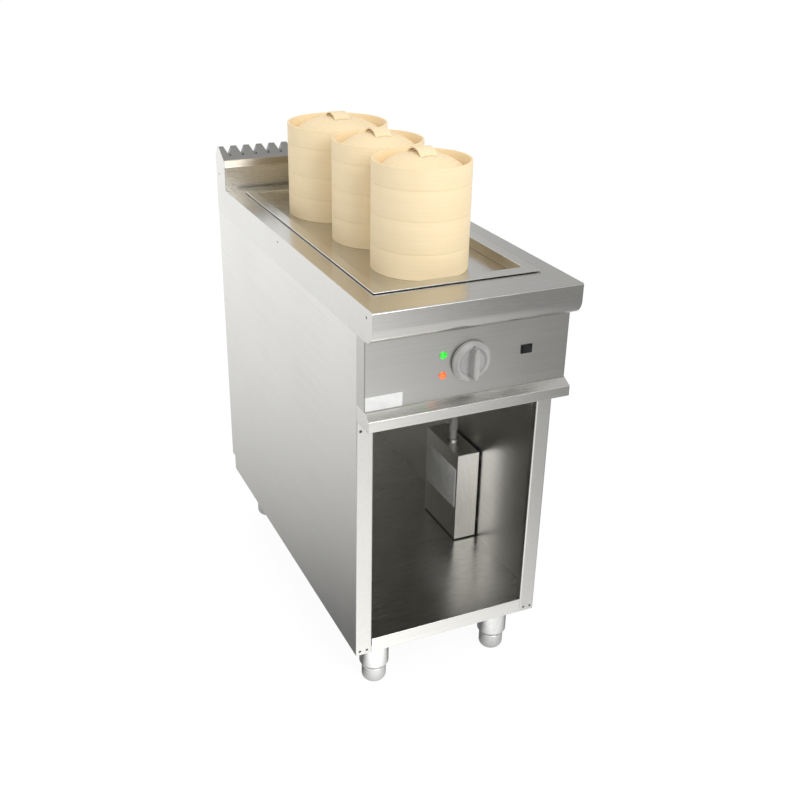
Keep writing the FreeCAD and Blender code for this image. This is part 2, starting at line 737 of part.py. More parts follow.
# Flue upstand: splash back, leaning strip, roof with a slot under the grille's vents, and rear wall
grooves = int(S.groove_count.value)
groove_spots = [S.groove_pitch * (number - (grooves - 1) / 2) for number in range(grooves)]
vent_y = grille_begin + S.vent_place
upstand = keep(body("flue_upstand"))
drawing = sketch(upstand, "YZ_Plane")
outline(drawing, [
    (flue_front, S.work_height), (flue_front, splash_top), (grille_begin, roof), (back, roof),
    (back, S.work_height), (back - S.gauge, S.work_height), (back - S.gauge, roof - S.gauge),
    (grille_begin + S.gauge, roof - S.gauge), (flue_front + S.gauge, splash_top),
    (flue_front + S.gauge, S.work_height),
])
pad(upstand, drawing, 2 * skin, both=True)
drawing = sketch(upstand, "XY_Plane", roof)
rectangle(drawing, -slot_half, slot_half, vent_y - S.vent_radius, vent_y + S.vent_radius)
pocket(upstand, drawing, S.gauge * 1.5)

# Flue grille: wedge bar with a row of grooves that leave flat-topped teeth
grille = keep(body("flue_grille"))
drawing = sketch(grille, "YZ_Plane")
outline(drawing, [(grille_begin, roof), (grille_end, roof), (grille_end, grille_top)])
pad(grille, drawing, 2 * skin, both=True)
groove_floor = grille_top - S.groove_depth
drawing = sketch(grille, "XZ_Plane")
for x in groove_spots:
    outline(drawing, [
        (x - S.groove_root / 2, groove_floor), (x + S.groove_root / 2, groove_floor),
        (x + S.groove_mouth / 2, grille_top), (x - S.groove_mouth / 2, grille_top),
    ])
pocket(grille, drawing)
drawing = sketch(grille, "XY_Plane", grille_top)
for x in groove_spots:
    circle(drawing, x, vent_y, S.vent_radius)
pocket(grille, drawing, S.grille_rise * 1.5)

# End caps that close the flue
caps = []
for name, level in (("left_cap", -half), ("right_cap", skin)):
    cap = body(name)
    drawing = sketch(cap, "YZ_Plane", level)
    outline(drawing, [
        (flue_front, S.work_height), (back, S.work_height), (back, roof),
        (grille_end + S.cap_crown, grille_top), (grille_end, grille_top), (grille_begin, roof),
        (flue_front, splash_top),
    ])
    circle(drawing, cap_screw_spot[0], cap_screw_spot[1], screw_hole)
    pad(cap, drawing, S.gauge)
    caps.append(cap)
keep(group("flue_end_caps", caps))


# Recess tray: flange on the worktop, walls, and the ledge that carries the deck
tray = keep(body("recess_tray"))
drawing = sketch(tray, "XY_Plane", flange_low)
flange_half = recess_half + S.flange_side
rectangle(drawing, -flange_half, flange_half, flange_begin, flange_end)
pad(tray, drawing, S.gauge)
drawing = sketch(tray, "XY_Plane", ledge_top - S.gauge)
wall = recess_half + S.gauge
rectangle(drawing, -wall, wall, recess_begin - S.gauge, recess_end + S.gauge)
pad(tray, drawing, flange_low - ledge_top + S.gauge)
drawing = sketch(tray, "XY_Plane", flange_top)
rectangle(drawing, -recess_half, recess_half, recess_begin, recess_end)
pocket(tray, drawing, S.recess_depth + S.deck)
for more in (ZERO, S.gauge):
    sides = [hand * (recess_half + more) for hand in (LEFT, RIGHT)]
    corners = [(x, y) for x in sides for y in (recess_begin - more, recess_end + more)]
    round_corners(tray, "XY_Plane", corners, S.recess_corner + more)
drawing = sketch(tray, "XY_Plane", ledge_top)
rectangle(drawing, -well_half, well_half, well_begin, well_end)
pocket(tray, drawing, S.gauge * 1.5)


# Steam tank under the ledge: five welded sheets, with holes for the heating tubes, the inlet and the drain
def element_spots():
    for hand in (LEFT, RIGHT):
        for side in (LEFT, RIGHT):
            yield hand * S.element_spread + side * S.element_pitch / 2


element_z = well_bottom + S.element_rise
well_wall = well_half + S.gauge
well_span = (well_begin - S.gauge, well_end + S.gauge)
well_rise = (well_bottom, ledge_top - S.gauge)
tank_floor = body("tank_floor")
drawing = sketch(tank_floor, "XY_Plane", well_bottom - S.gauge)
rectangle(drawing, -well_wall, well_wall, *well_span)
circle(drawing, ZERO, drain_y, S.drain_radius - S.drain_wall)
pad(tank_floor, drawing, S.gauge)
tank_front = body("tank_front")
drawing = sketch(tank_front, "XZ_Plane", -well_begin)
rectangle(drawing, -well_half, well_half, *well_rise)
for x in element_spots():
    circle(drawing, x, element_z, S.element_radius + S.hole_gap)
pad(tank_front, drawing, S.gauge)
tank_rear = body("tank_rear")
drawing = sketch(tank_rear, "XZ_Plane", -well_end - S.gauge)
rectangle(drawing, -well_half, well_half, *well_rise)
circle(drawing, -S.inlet_offset, inlet_z, S.inlet_radius - S.inlet_wall)
pad(tank_rear, drawing, S.gauge)
keep(group("steam_tank", [
    tank_floor, tank_front, tank_rear,
    box("tank_left", (-well_wall, -well_half), well_span, well_rise),
    box("tank_right", (well_half, well_wall), well_span, well_rise),
]))

# Seal between the tank flange and the worktop
seal = keep(body("tank_gasket"))
drawing = sketch(seal, "XY_Plane", S.work_height)
seal_half = flange_half - S.gasket_inset
rectangle(drawing, -seal_half, seal_half, flange_begin + S.gasket_inset, flange_end - S.gasket_inset)
seal_hole = recess_half + cutout
rectangle(drawing, -seal_hole, seal_hole, recess_begin - cutout, recess_end + cutout)
pad(seal, drawing, S.gasket)

# Deck plate with a steam opening under each stack
STACKS = (
    ("front", front_stack, S.front_radius, S.front_rim, (S.front_lower, S.front_middle, S.front_upper)),
    ("middle", middle_stack, S.middle_radius, S.middle_rim,
     (S.middle_lower, S.middle_middle, S.middle_upper)),
    ("rear", rear_stack, S.rear_radius, S.rear_rim, (S.rear_lower, S.rear_middle, S.rear_upper)),
)
deck = keep(body("steam_deck"))
drawing = sketch(deck, "XY_Plane", ledge_top)
deck_half = recess_half - S.deck_gap
deck_begin = recess_begin + S.deck_gap
deck_end = recess_end - S.deck_gap
rectangle(drawing, -deck_half, deck_half, deck_begin, deck_end)
for name, y, radius, rim, tiers in STACKS:
    circle(drawing, ZERO, y, radius - S.hoop)
pad(deck, drawing, S.deck)
corners = [(hand * deck_half, y) for hand in (LEFT, RIGHT) for y in (deck_begin, deck_end)]
round_corners(deck, "XY_Plane", corners, S.recess_corner)

# Heating tubes: two hairpin loops that pass the front wall of the well
plate_face = well_begin - S.gauge
tube_begin = plate_face - S.plate_thickness - S.element_stub
tube_bend = well_begin + S.element_reach
loops = []
for name, hand in (("left_loop", LEFT), ("right_loop", RIGHT)):
    middle = hand * S.element_spread
    legs = []
    for side in (LEFT, RIGHT):
        x = middle + side * S.element_pitch / 2
        length = tube_bend - tube_begin
        legs.append(cylinder(name + "_leg", S.element_radius, length, x, tube_begin, element_z, "y"))
    bow = doc.addObject("Part::Torus", name + "_bow")
    bow.setExpression("Radius1", (S.element_pitch / 2).formula)
    bow.setExpression("Radius2", S.element_radius.formula)
    bow.Angle3 = 180
    place(bow, middle, tube_bend, element_z)
    loops.append(fuse(name, legs + [bow]))
nuts = []
nut_face = plate_face - S.plate_thickness - S.element_nut_height
for x in element_spots():
    ring = body("element_nut")
    drawing = sketch(ring, "XZ_Plane", -nut_face - S.element_nut_height)
    circle(drawing, x, element_z, S.element_nut)
    circle(drawing, x, element_z, S.element_radius + S.hole_gap)
    pad(ring, drawing, S.element_nut_height)
    nuts.append(ring)
keep(group("heating_elements", loops + nuts))
plate = keep(body("element_plate"))
drawing = sketch(plate, "XZ_Plane", -plate_face)
plate_half = S.element_spread + S.element_pitch / 2 + S.plate_border
rectangle(drawing, -plate_half, plate_half, element_z - S.plate_border, element_z + S.plate_border)
for x in element_spots():
    circle(drawing, x, element_z, S.element_radius + S.hole_gap)
pad(plate, drawing, S.plate_thickness)

# Thicker tail that a hose coupling takes, behind the rear panel
pipe_end = rear_face + S.spout


def pipe_tail(item, x, z, radius, wall):
    drawing = sketch(item, "XZ_Plane", -pipe_end)
    circle(drawing, x, z, radius + S.tail_wall)
    circle(drawing, x, z, radius - wall)
    pad(item, drawing, S.tail)


# Drain elbow from the bottom of the well to the rear panel
drain = keep(body("drain_pipe"))
drain_top = well_bottom - S.gauge
path = sketch(drain, "YZ_Plane")
outline(path, [
    (drain_y, drain_top), (drain_y, drain_z + S.drain_bend), (drain_y + S.drain_bend, drain_z),
    (pipe_end, drain_z),
], closed=False)
ring = sketch(drain, "XY_Plane", drain_top)
circle(ring, ZERO, drain_y, S.drain_radius)
circle(ring, ZERO, drain_y, S.drain_radius - S.drain_wall)
pipe = drain.newObject("PartDesign::AdditivePipe", "drain_run")
pipe.Profile = ring
pipe.Spine = path
pipe.Transition = "Right corner"
doc.recompute()
pipe_tail(drain, ZERO, drain_z, S.drain_radius, S.drain_wall)

# Water inlet pipe from the rear wall of the well to the rear panel
inlet = keep(body("water_inlet"))
ring = sketch(inlet, "XZ_Plane", -pipe_end)
circle(ring, -S.inlet_offset, inlet_z, S.inlet_radius)
circle(ring, -S.inlet_offset, inlet_z, S.inlet_radius - S.inlet_wall)
pad(inlet, ring, pipe_end - well_end - S.gauge)
pipe_tail(inlet, -S.inlet_offset, inlet_z, S.inlet_radius, S.inlet_wall)

# Cable gland in the rear panel: collar and dome nut outside, lock nut inside
gland = keep(place(body("cable_gland"), gland_x, rear_face, gland_z, -90))
drawing = sketch(gland, "XZ_Plane")
lock = S.gauge + S.gland_collar / 3
outline(drawing, [
    (S.gland_bore, -lock), (S.gland_collar, -lock), (S.gland_collar, -S.gauge), (S.gland_thread, -S.gauge),
    (S.gland_thread, ZERO), (S.gland_collar, ZERO), (S.gland_collar, S.spout / 3),
    (S.gland_thread + 2 * S.fit_gap, S.spout / 3), (S.gland_thread, S.spout), (S.gland_bore, S.spout),
])
revolve(gland, drawing)

# Thermostat behind the panel, its shaft, and the knob
thermostat = keep(place(body("thermostat"), ZERO, panel_face, knob_z, 90))
drawing = sketch(thermostat, "XY_Plane", -S.gauge - S.thermostat_depth)
side = S.thermostat_size / 2
rectangle(drawing, -side, side, -side, side)
pad(thermostat, drawing, S.thermostat_depth)
drawing = sketch(thermostat, "XY_Plane", -S.gauge)
circle(drawing, ZERO, ZERO, S.bush_radius)
pad(thermostat, drawing, S.gauge + S.bush_proud)
drawing = sketch(thermostat, "XY_Plane", S.bush_proud)
circle(drawing, ZERO, ZERO, S.shaft_radius + S.shaft_gap)
shaft_seat = S.thermostat_depth / 3
pocket(thermostat, drawing, S.bush_proud + S.gauge + shaft_seat)
shaft = keep(cylinder(
    "thermostat_shaft", S.shaft_radius, S.gauge + shaft_seat + S.knob_gap + S.shaft_grip,
    ZERO, panel_face - S.knob_gap - S.shaft_grip, knob_z, "y",
))
shaft.Label = "thermostat_shaft"

knob = keep(place(body("control_knob"), ZERO, panel_face - S.knob_gap, knob_z, 90))
drawing = sketch(knob, "XZ_Plane")
crest = S.knob_radius - S.knob_skirt / 2
dish = S.knob_skirt - S.knob_dish
outline(drawing, [
    (ZERO, ZERO), (S.knob_radius, ZERO), (S.knob_radius, S.knob_skirt / 2), (crest, S.knob_skirt),
    (crest - S.knob_dish, S.knob_skirt), (crest - 2 * S.knob_dish, dish), (ZERO, dish),
])
revolve(knob, drawing)
drawing = sketch(knob, "XY_Plane")
grip_half = S.grip_width / 2
grip_end = S.grip_length / 2
grip_bow = S.grip_width * 0.75
grip_tip = grip_half - S.knob_dish
outline(drawing, [
    (-grip_half, grip_bow - grip_end), (-grip_tip, -grip_end), (grip_tip, -grip_end),
    (grip_half, grip_bow - grip_end), (grip_half, grip_end - grip_bow), (grip_tip, grip_end),
    (-grip_tip, grip_end), (-grip_half, grip_end - grip_bow),
])
grip = pad(knob, drawing, S.knob_height - S.knob_gap)
grip.TaperAngle = -3
doc.recompute()
chamfer(knob, edges_at(knob, Z=S.knob_height - S.knob_gap), S.knob_dish / 2)
drawing = sketch(knob, "XY_Plane", S.knob_skirt)
circle(drawing, ZERO, crest - S.knob_dish / 2, S.dot_radius)
pocket(knob, drawing, S.dot_radius / 2)
drawing = sketch(knob, "XY_Plane")
circle(drawing, ZERO, ZERO, S.shaft_radius + S.hole_gap)
pocket(knob, drawing, S.shaft_grip, reverse=True)

# Signal lamps: lens on the panel, housing through it
housings = []
for name, z in (("green", green_z), ("orange", orange_z)):
    lens = keep(place(body(name + "_lamp"), -S.lamp_offset, panel_face, z, 90))
    drawing = sketch(lens, "XZ_Plane")
    outline(drawing, [
        (ZERO, ZERO), (S.lens_radius, ZERO), (S.lens_radius, S.lens_height / 3),
        (S.lens_radius * 0.7, S.lens_height * 0.85), (ZERO, S.lens_height),
    ])
    revolve(lens, drawing)
    housing = cylinder(name + "_housing", S.lamp_radius, S.lamp_depth, -S.lamp_offset, panel_face, z, "y")
    housings.append(housing)
keep(group("lamp_housings", housings))

# Rocker switch: bezel and body with a cavity, and the rocker in its off position
housing = keep(place(body("switch_housing"), S.switch_offset, panel_face, switch_z, 90))
drawing = sketch(housing, "XY_Plane")
rectangle(drawing, -S.bezel_width / 2, S.bezel_width / 2, -S.bezel_height / 2, S.bezel_height / 2)
pad(housing, drawing, S.bezel_proud)
drawing = sketch(housing, "XY_Plane", -S.switch_depth)
rectangle(drawing, -switch_half_x, switch_half_x, -switch_half_z, switch_half_z)
pad(housing, drawing, S.switch_depth)
drawing = sketch(housing, "XY_Plane", S.bezel_proud)
room_x = switch_half_x - S.switch_wall
room_z = switch_half_z - S.switch_wall
rectangle(drawing, -room_x, room_x, -room_z, room_z)
pocket(housing, drawing, S.bezel_proud + S.rocker_room)
pivot = S.rocker_pivot - S.bezel_proud
drawing = sketch(housing, "XZ_Plane")
circle(drawing, ZERO, -pivot - S.trunnion_radius, S.trunnion_radius + S.trunnion_gap)
pocket(housing, drawing)

rocker = keep(place(body("switch_rocker"), S.switch_offset, panel_face, switch_z))
drawing = sketch(rocker, "XY_Plane", S.rocker_gap - room_z)
reach = room_x - S.rocker_side
face = -S.bezel_proud
outline(drawing, [
    (-reach, face), (ZERO, face), (reach, face - S.rocker_throw), (reach, pivot),
    (reach / 2, pivot + S.rocker_belly), (-reach / 2, pivot + S.rocker_belly), (-reach, pivot),
])
pad(rocker, drawing, 2 * (room_z - S.rocker_gap))
drawing = sketch(rocker, "XY_Plane")
circle(drawing, ZERO, pivot + S.trunnion_radius, S.trunnion_radius)
pad(rocker, drawing, 2 * room_z + S.switch_wall, both=True)

# Junction box on the right wall: open tray, cover and standoffs
tray = keep(body("junction_box"))
drawing = sketch(tray, "YZ_Plane", box_left + S.gauge)
rectangle(drawing, box_begin, box_end, box_bottom, box_top)
pad(tray, drawing, S.box_width - S.gauge)
drawing = sketch(tray, "YZ_Plane", box_left + S.gauge)
rectangle(drawing, box_begin + S.gauge, box_end - S.gauge, box_bottom + S.gauge, box_top - S.gauge)
pocket(tray, drawing, S.box_width - 2 * S.gauge, reverse=True)
drawing = sketch(tray, "XY_Plane", box_top)
circle(drawing, conduit_x, conduit_y, spigot_hole)
circle(drawing, conduit_x - S.box_hole_inset / 2, box_end - S.box_hole_inset, S.box_hole)
pocket(tray, drawing, S.gauge * 1.5)
cover = keep(body("junction_box_cover"))
drawing = sketch(cover, "YZ_Plane", box_left)
rectangle(drawing, box_begin, box_end, box_bottom, box_top)
pad(cover, drawing, S.gauge)
standoffs = []
for y in (box_begin + S.standoff_inset, box_end - S.standoff_inset):
    for z in (box_bottom + S.standoff_inset, box_top - S.standoff_inset):
        standoffs.append(cylinder("standoff", S.standoff_radius, S.box_wall_gap, box_right, y, z, "x"))
keep(group("box_standoffs", standoffs))

# Conduit fittings: a flange on each sheet with a spigot through it
fittings = []
for name, level, up in (("box_fitting", box_top, 1), ("ceiling_fitting", ceiling, -1)):
    flange = cylinder(name + "_flange", S.fitting_radius, S.fitting_height, conduit_x, conduit_y,
                      level if up > 0 else level - S.fitting_height)
    spigot = cylinder(name + "_spigot", S.conduit_root, S.fitting_spigot, conduit_x, conduit_y,
                      level - S.fitting_spigot if up > 0 else level)
    reach = S.fitting_spigot + S.fitting_height
    hole = cylinder(name + "_hole", S.conduit_bore, 2 * reach, conduit_x, conduit_y, level - reach)
    solid = fuse(name + "_solid", [flange, spigot])
    cut = doc.addObject("Part::Cut", name)
    cut.Base = solid
    cut.Tool = hole
    fittings.append(cut)
keep(group("conduit_fittings", fittings))

# Ribbed conduit: straight ends one diameter long, four circles to a rib between them
conduit_low = box_top.value + S.fitting_height.value
conduit_high = ceiling.value - S.fitting_height.value
straight = 2 * S.conduit_radius.value
ribs = int(S.conduit_ribs.value)
pitch = (conduit_high - conduit_low - 2 * straight) / ribs
rib_radii = (S.conduit_root, S.conduit_radius, S.conduit_radius, S.conduit_root)
stations = [(conduit_low, S.conduit_root.value)]
for rib in range(ribs):
    foot = conduit_low + straight + rib * pitch
    for share, radius in zip((0.0, 0.25, 0.6, 0.85), rib_radii):
        stations.append((foot + share * pitch, radius.value))
stations.append((conduit_high, S.conduit_root.value))
rings = []
for z, radius in stations:
    edge = Part.Edge(Part.Circle(V(0, 0, z), V(0, 0, 1), radius))
    rings.append(Part.Wire([edge]))
hose = Part.makeLoft(rings, True, True)
hose = hose.cut(Part.makeCylinder(S.conduit_bore.value, conduit_high - conduit_low, V(0, 0, conduit_low)))
conduit = doc.addObject("Part::Feature", "conduit")
conduit.Label = "conduit"
conduit.Shape = hose
keep(place(conduit, conduit_x, conduit_y))

# Foot sockets and the four adjustable feet
FEET = (
    ("foot_front_left", LEFT, front + S.foot_front),
    ("foot_front_right", RIGHT, front + S.foot_front),
    ("foot_rear_left", LEFT, back - S.foot_rear),
    ("foot_rear_right", RIGHT, back - S.foot_rear),
)
sockets = []
for label, hand, y in FEET:
    socket = place(body(label.replace("foot", "socket")), hand * S.foot_spread, y)
    drawing = sketch(socket, "XZ_Plane")
    bore = S.stem_radius + S.stem_gap
    outline(drawing, [
        (bore, S.sleeve_height), (S.sleeve_radius + S.stem_gap, S.sleeve_height),
        (S.socket_radius, S.sleeve_height + S.socket_taper), (S.socket_radius, S.leg_height),
        (bore, S.leg_height),
    ])
    revolve(socket, drawing)
    sockets.append(socket)
    foot = keep(place(body(label), hand * S.foot_spread, y))
    drawing = sketch(foot, "XZ_Plane")
    stem_top = S.sleeve_height + S.stem_length
    bands = int(S.sleeve_bands.value)
    sole = []
    for number in range(bands + 1):
        turn = math.radians(90 * number / bands)
        sole.append((
            S.sleeve_radius - S.sleeve_round * (1 - math.sin(turn)), S.sleeve_round * (1 - math.cos(turn)),
        ))
    outline(drawing, [(ZERO, ZERO)] + sole + [
        (S.sleeve_radius, S.sleeve_height), (S.stem_radius, S.sleeve_height), (S.stem_radius, stem_top),
        (ZERO, stem_top),
    ])
    revolve(foot, drawing)
keep(group("foot_sockets", sockets))

# Screws with their clinch nuts: in the aprons and end caps, and in the posts
side_screws = []
post_screws = []
for hand in (LEFT, RIGHT):
    begin = S.screw_sink - half if hand == LEFT else half - S.screw_sink - S.screw_length
    nut = -skin if hand == LEFT else skin - S.nut_height
    for y, z in apron_screw_spots + (cap_screw_spot,):
        side_screws.append(fuse("side_screw", [
            cylinder("side_shank", S.screw_radius, S.screw_length, begin, y, z, "x"),
            cylinder("side_nut", S.nut_radius, S.nut_height, nut, y, z, "x"),
        ]))
    begin = post_face + S.screw_sink
    nut = post_face + S.gauge
    for x, z in post_screw_spots:
        post_screws.append(fuse("post_screw", [
            cylinder("post_shank", S.screw_radius, S.screw_length, hand * x, begin, z, "y"),
            cylinder("post_nut", S.nut_radius, S.nut_height, hand * x, nut, z, "y"),
        ]))
keep(group("side_screws", side_screws))
keep(group("post_screws", post_screws))


# Basket tiers: outer hoop with an inner lining that nests below, and slats held in a groove of the lining
def basket_tier(label, y, radius, level, height):
    ring = place(body(label + "_ring"), ZERO, y, level)
    mouth = radius - S.hoop
    room = mouth - S.lining
    neck = mouth - S.nest_gap
    socket = height - S.nest_depth - S.nest_room
    groove_radius = room + S.slat_seat
    slat_top = S.slat_rise + S.slat_thickness
    drawing = sketch(ring, "XZ_Plane")
    outline(drawing, [
        (radius - S.seam, ZERO), (radius, S.seam), (radius, height), (mouth, height), (mouth, socket),
        (room, socket), (room, slat_top), (groove_radius, slat_top), (groove_radius, S.slat_rise),
        (room, S.slat_rise), (room, -S.nest_depth), (neck, -S.nest_depth), (neck, ZERO),
    ])
    revolve(ring, drawing)
    reach = groove_radius - S.fit_gap
    count = int(S.slat_count.value)
    slats = []
    for number in range(count):
        x = S.slat_pitch * (number - (count - 1) / 2)
        low = x - S.slat_width / 2
        high = x + S.slat_width / 2
        low_end = root(reach * reach - low * low)
        high_end = root(reach * reach - high * high)
        slat = place(body(label + "_slat"), ZERO, y, level)
        drawing = sketch(slat, "XY_Plane", S.slat_rise)
        outline(drawing, [(low, -low_end), (high, -high_end), (high, high_end), (low, low_end)])
        pad(slat, drawing, S.slat_thickness)
        slats.append(slat)
    keep(group(label, [ring] + slats))


# Basket lid: hoop, lining that nests below, a dome seated on the lining, and a strap handle over the crown
def basket_lid(name, y, radius, level, height):
    mouth = radius - S.hoop
    room = mouth - S.lining
    neck = mouth - S.nest_gap
    crown = height + S.dome_crown
    rise = S.dome_crown + S.dome_drop
    ball = (mouth * mouth + rise * rise) / (2 * rise)
    inside = ball - S.dome_wall
    seat = crown - ball + root(inside * inside - room * room)
    hoop = place(body(name + "_lid_hoop"), ZERO, y, level)
    drawing = sketch(hoop, "XZ_Plane")
    outline(drawing, [
        (radius - S.seam, ZERO), (radius, S.seam), (radius, height), (mouth, height), (mouth, ZERO),
    ])
    revolve(hoop, drawing)
    lining = place(body(name + "_lid_lining"), ZERO, y, level)
    drawing = sketch(lining, "XZ_Plane")
    outline(drawing, [(neck, -S.nest_depth), (neck, seat), (room, seat), (room, -S.nest_depth)])
    revolve(lining, drawing)
    dome = place(body(name + "_lid_dome"), ZERO, y, level)
    bands = int(S.dome_bands.value)
    edge = mouth - S.fit_gap
    top = []
    under = []
    for number in range(bands + 1):
        out = edge * number / bands
        top.append((out, crown - ball + root(ball * ball - out * out)))
        out = room * (bands - number) / bands
        under.append((out, crown - ball + root(inside * inside - out * out)))
    drawing = sketch(dome, "XZ_Plane")
    outline(drawing, top + [(edge, seat)] + under)
    revolve(dome, drawing)
    keep(group(name + "_lid", [hoop, lining, dome]))
    outer_reach = S.strap_reach + S.strap_thickness
    corner = outer_reach * outer_reach + S.strap_width * S.strap_width / 4
    foot = crown - ball + root(ball * ball - corner) - S.strap_sink
    bow = crown - foot + S.strap_gap
    tip = bow + S.strap_thickness
    inner_bow = (S.strap_reach * S.strap_reach + bow * bow) / (2 * bow)
    outer_bow = (outer_reach * outer_reach + tip * tip) / (2 * tip)
    strap = keep(place(body(name + "_handle"), ZERO, y, level))
    drawing = sketch(strap, "YZ_Plane")
    outline(drawing, [
        (-outer_reach, foot, outer_bow, -1), (outer_reach, foot), (S.strap_reach, foot, inner_bow, 1),
        (-S.strap_reach, foot),
    ])
    pad(strap, drawing, S.strap_width, both=True)
    clear = ball + S.fit_gap
    low = crown - ball
    drawing = sketch(strap, "XZ_Plane")
    outline(drawing, [(ZERO, low + clear, clear, -1), (clear, low), (ZERO, low)])
    groove(strap, drawing)


for name, y, radius, rim, tiers in STACKS:
    level = deck_top
    for part, height in zip(("lower", "middle", "upper"), tiers):
        basket_tier("%s_tier_%s" % (name, part), y, radius, level, height)
        level = level + height
    basket_lid(name, y, radius, level, rim)

# Check every object, then write one file for each sub-part
doc.recompute()
for item in doc.Objects:
    if "Invalid" in item.State or "Error" in item.State:
        raise RuntimeError("failed: " + item.Name)
for item in finished:
    if item.Shape.isNull() or not item.Shape.isValid() or item.Shape.Volume <= 0:
        raise RuntimeError("bad shape: " + item.Label)
os.makedirs("parts", exist_ok=True)
for item in finished:
    item.Shape.exportStep(os.path.join("parts", item.Label + ".step"))
print("%d sub-parts written" % len(finished))
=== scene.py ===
import math

import bmesh
import bpy
from mathutils import Matrix, Vector


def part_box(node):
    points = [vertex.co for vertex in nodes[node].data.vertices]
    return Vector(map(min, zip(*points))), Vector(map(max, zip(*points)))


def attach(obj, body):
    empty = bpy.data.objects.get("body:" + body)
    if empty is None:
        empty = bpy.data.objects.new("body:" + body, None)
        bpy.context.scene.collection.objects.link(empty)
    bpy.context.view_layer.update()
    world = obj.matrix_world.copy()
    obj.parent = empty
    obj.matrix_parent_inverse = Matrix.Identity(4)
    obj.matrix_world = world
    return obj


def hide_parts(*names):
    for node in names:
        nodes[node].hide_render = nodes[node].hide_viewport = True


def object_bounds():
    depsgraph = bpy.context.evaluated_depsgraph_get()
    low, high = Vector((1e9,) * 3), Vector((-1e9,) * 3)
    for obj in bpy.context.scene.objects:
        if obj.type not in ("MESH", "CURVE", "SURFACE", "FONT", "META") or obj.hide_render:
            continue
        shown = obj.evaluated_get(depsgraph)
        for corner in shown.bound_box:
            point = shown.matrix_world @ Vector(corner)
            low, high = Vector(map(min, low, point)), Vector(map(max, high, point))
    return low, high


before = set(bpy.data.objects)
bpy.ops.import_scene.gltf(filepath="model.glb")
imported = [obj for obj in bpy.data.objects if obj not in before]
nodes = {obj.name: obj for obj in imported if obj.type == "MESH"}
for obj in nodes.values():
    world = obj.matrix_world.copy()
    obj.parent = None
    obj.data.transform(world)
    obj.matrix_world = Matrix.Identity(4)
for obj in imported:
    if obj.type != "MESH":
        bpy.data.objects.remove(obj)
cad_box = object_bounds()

scene = bpy.context.scene
X_AXIS, Y_AXIS, Z_AXIS = 0, 1, 2
RIGHT = Vector((1, 0, 0))
FRONT = Vector((0, -1, 0))
UP = Vector((0, 0, 1))

# How finely round pieces are divided
TURN_STEPS = 144
STRIP_STEPS = 24
STITCH_STEPS = 6
DOME_STEPS = 16
DOME_TURN_STEPS = 96
CONDUIT_STEPS = 48
FOOT_STEPS = 72
EASE_BITS = 4
BOARD_BITS = 2
CORNER_BITS = 6
EASE_SHARE = 0.45
PLATE_BOW = 0.3
SHARP_ANGLE = math.radians(38)


# Mesh helpers
def shape_with_grain():
    shape = bmesh.new()
    return shape, shape.loops.layers.uv.new("grain")


def eased(corners, radius, bits=EASE_BITS):
    """A closed outline with each of its corners rounded off."""
    points = []
    for number, spot in enumerate(corners):
        corner = Vector(spot)
        before = Vector(corners[number - 1]) - corner
        after = Vector(corners[(number + 1) % len(corners)]) - corner
        start = corner + before.normalized() * min(radius, before.length * EASE_SHARE)
        end = corner + after.normalized() * min(radius, after.length * EASE_SHARE)
        for bit in range(bits + 1):
            share = bit / bits
            points.append(start * (1 - share) ** 2 + corner * 2 * share * (1 - share) + end * share ** 2)
    return points


def skin(shape, grain, rows, along, across, round_rows=True, round_points=True):
    """Faces between rows of points, with the grain map's u taken from along and its v from across."""
    verts = [[shape.verts.new(point) for point in row] for row in rows]
    last_row = len(rows) if round_rows else len(rows) - 1
    last_point = len(rows[0]) if round_points else len(rows[0]) - 1
    for row in range(last_row):
        here = verts[row]
        there = verts[(row + 1) % len(rows)]
        for number in range(last_point):
            other = (number + 1) % len(rows[0])
            face = shape.faces.new((here[number], there[number], there[other], here[other]))
            spots = ((row, number), (row + 1, number), (row + 1, number + 1), (row, number + 1))
            for loop, (u, v) in zip(face.loops, spots):
                loop[grain].uv = (along[u], across[v])
    return verts


def capped_skin(shape, grain, rows, along, across):
    """Faces between rows of points, closed at the first and the last row."""
    verts = skin(shape, grain, rows, along, across, round_rows=False)
    shape.faces.new(verts[0])
    shape.faces.new(verts[-1])


def path_lengths(points, closed=True):
    """How far along an outline each of its points is, with the whole length last."""
    lengths = [0.0]
    for number in range(1, len(points) + (1 if closed else 0)):
        step = Vector(points[number % len(points)]) - Vector(points[number - 1])
        lengths.append(lengths[-1] + step.length)
    return lengths


def swung(profile, centre, turn):
    """A profile of radii and heights, swung to an angle about an upright axis."""
    side = Vector((math.cos(turn), math.sin(turn), 0))
    return [centre + side * radius + Vector((0, 0, height)) for radius, height in profile]


def swung_round(profile, centre, steps):
    """The profile at each step of a full turn, and how far round its widest point each step is."""
    rows = [swung(profile, centre, 2 * math.pi * step / steps) for step in range(steps)]
    widest = max(point[0] for point in profile)
    return rows, [2 * math.pi * widest * step / steps for step in range(steps + 1)]


def turned(shape, grain, profile, centre, steps=TURN_STEPS):
    """A closed profile turned about an upright axis."""
    rows, along = swung_round(profile, centre, steps)
    skin(shape, grain, rows, along, path_lengths(profile))


def turned_solid(shape, grain, profile, centre, steps):
    """An open profile turned about an upright axis and closed flat at both ends."""
    rows, along = swung_round(profile, centre, steps)
    verts = skin(shape, grain, rows, along, path_lengths(profile, False), round_points=False)
    for end in (0, -1):
        shape.faces.new([row[end] for row in verts])


def bent_strip(shape, grain, centre, radii, heights, start, width, ease, steps=STRIP_STEPS):
    """A strip that lies on a hoop from one angle on, closed at both ends."""
    inner, outer = radii
    foot, rim = heights
    profile = eased([(inner, foot), (outer, foot), (outer, rim), (inner, rim)], ease)
    along = [width * step / steps for step in range(steps + 1)]
    rows = [swung(profile, centre, start + way / outer) for way in along]
    capped_skin(shape, grain, rows, along, path_lengths(profile))


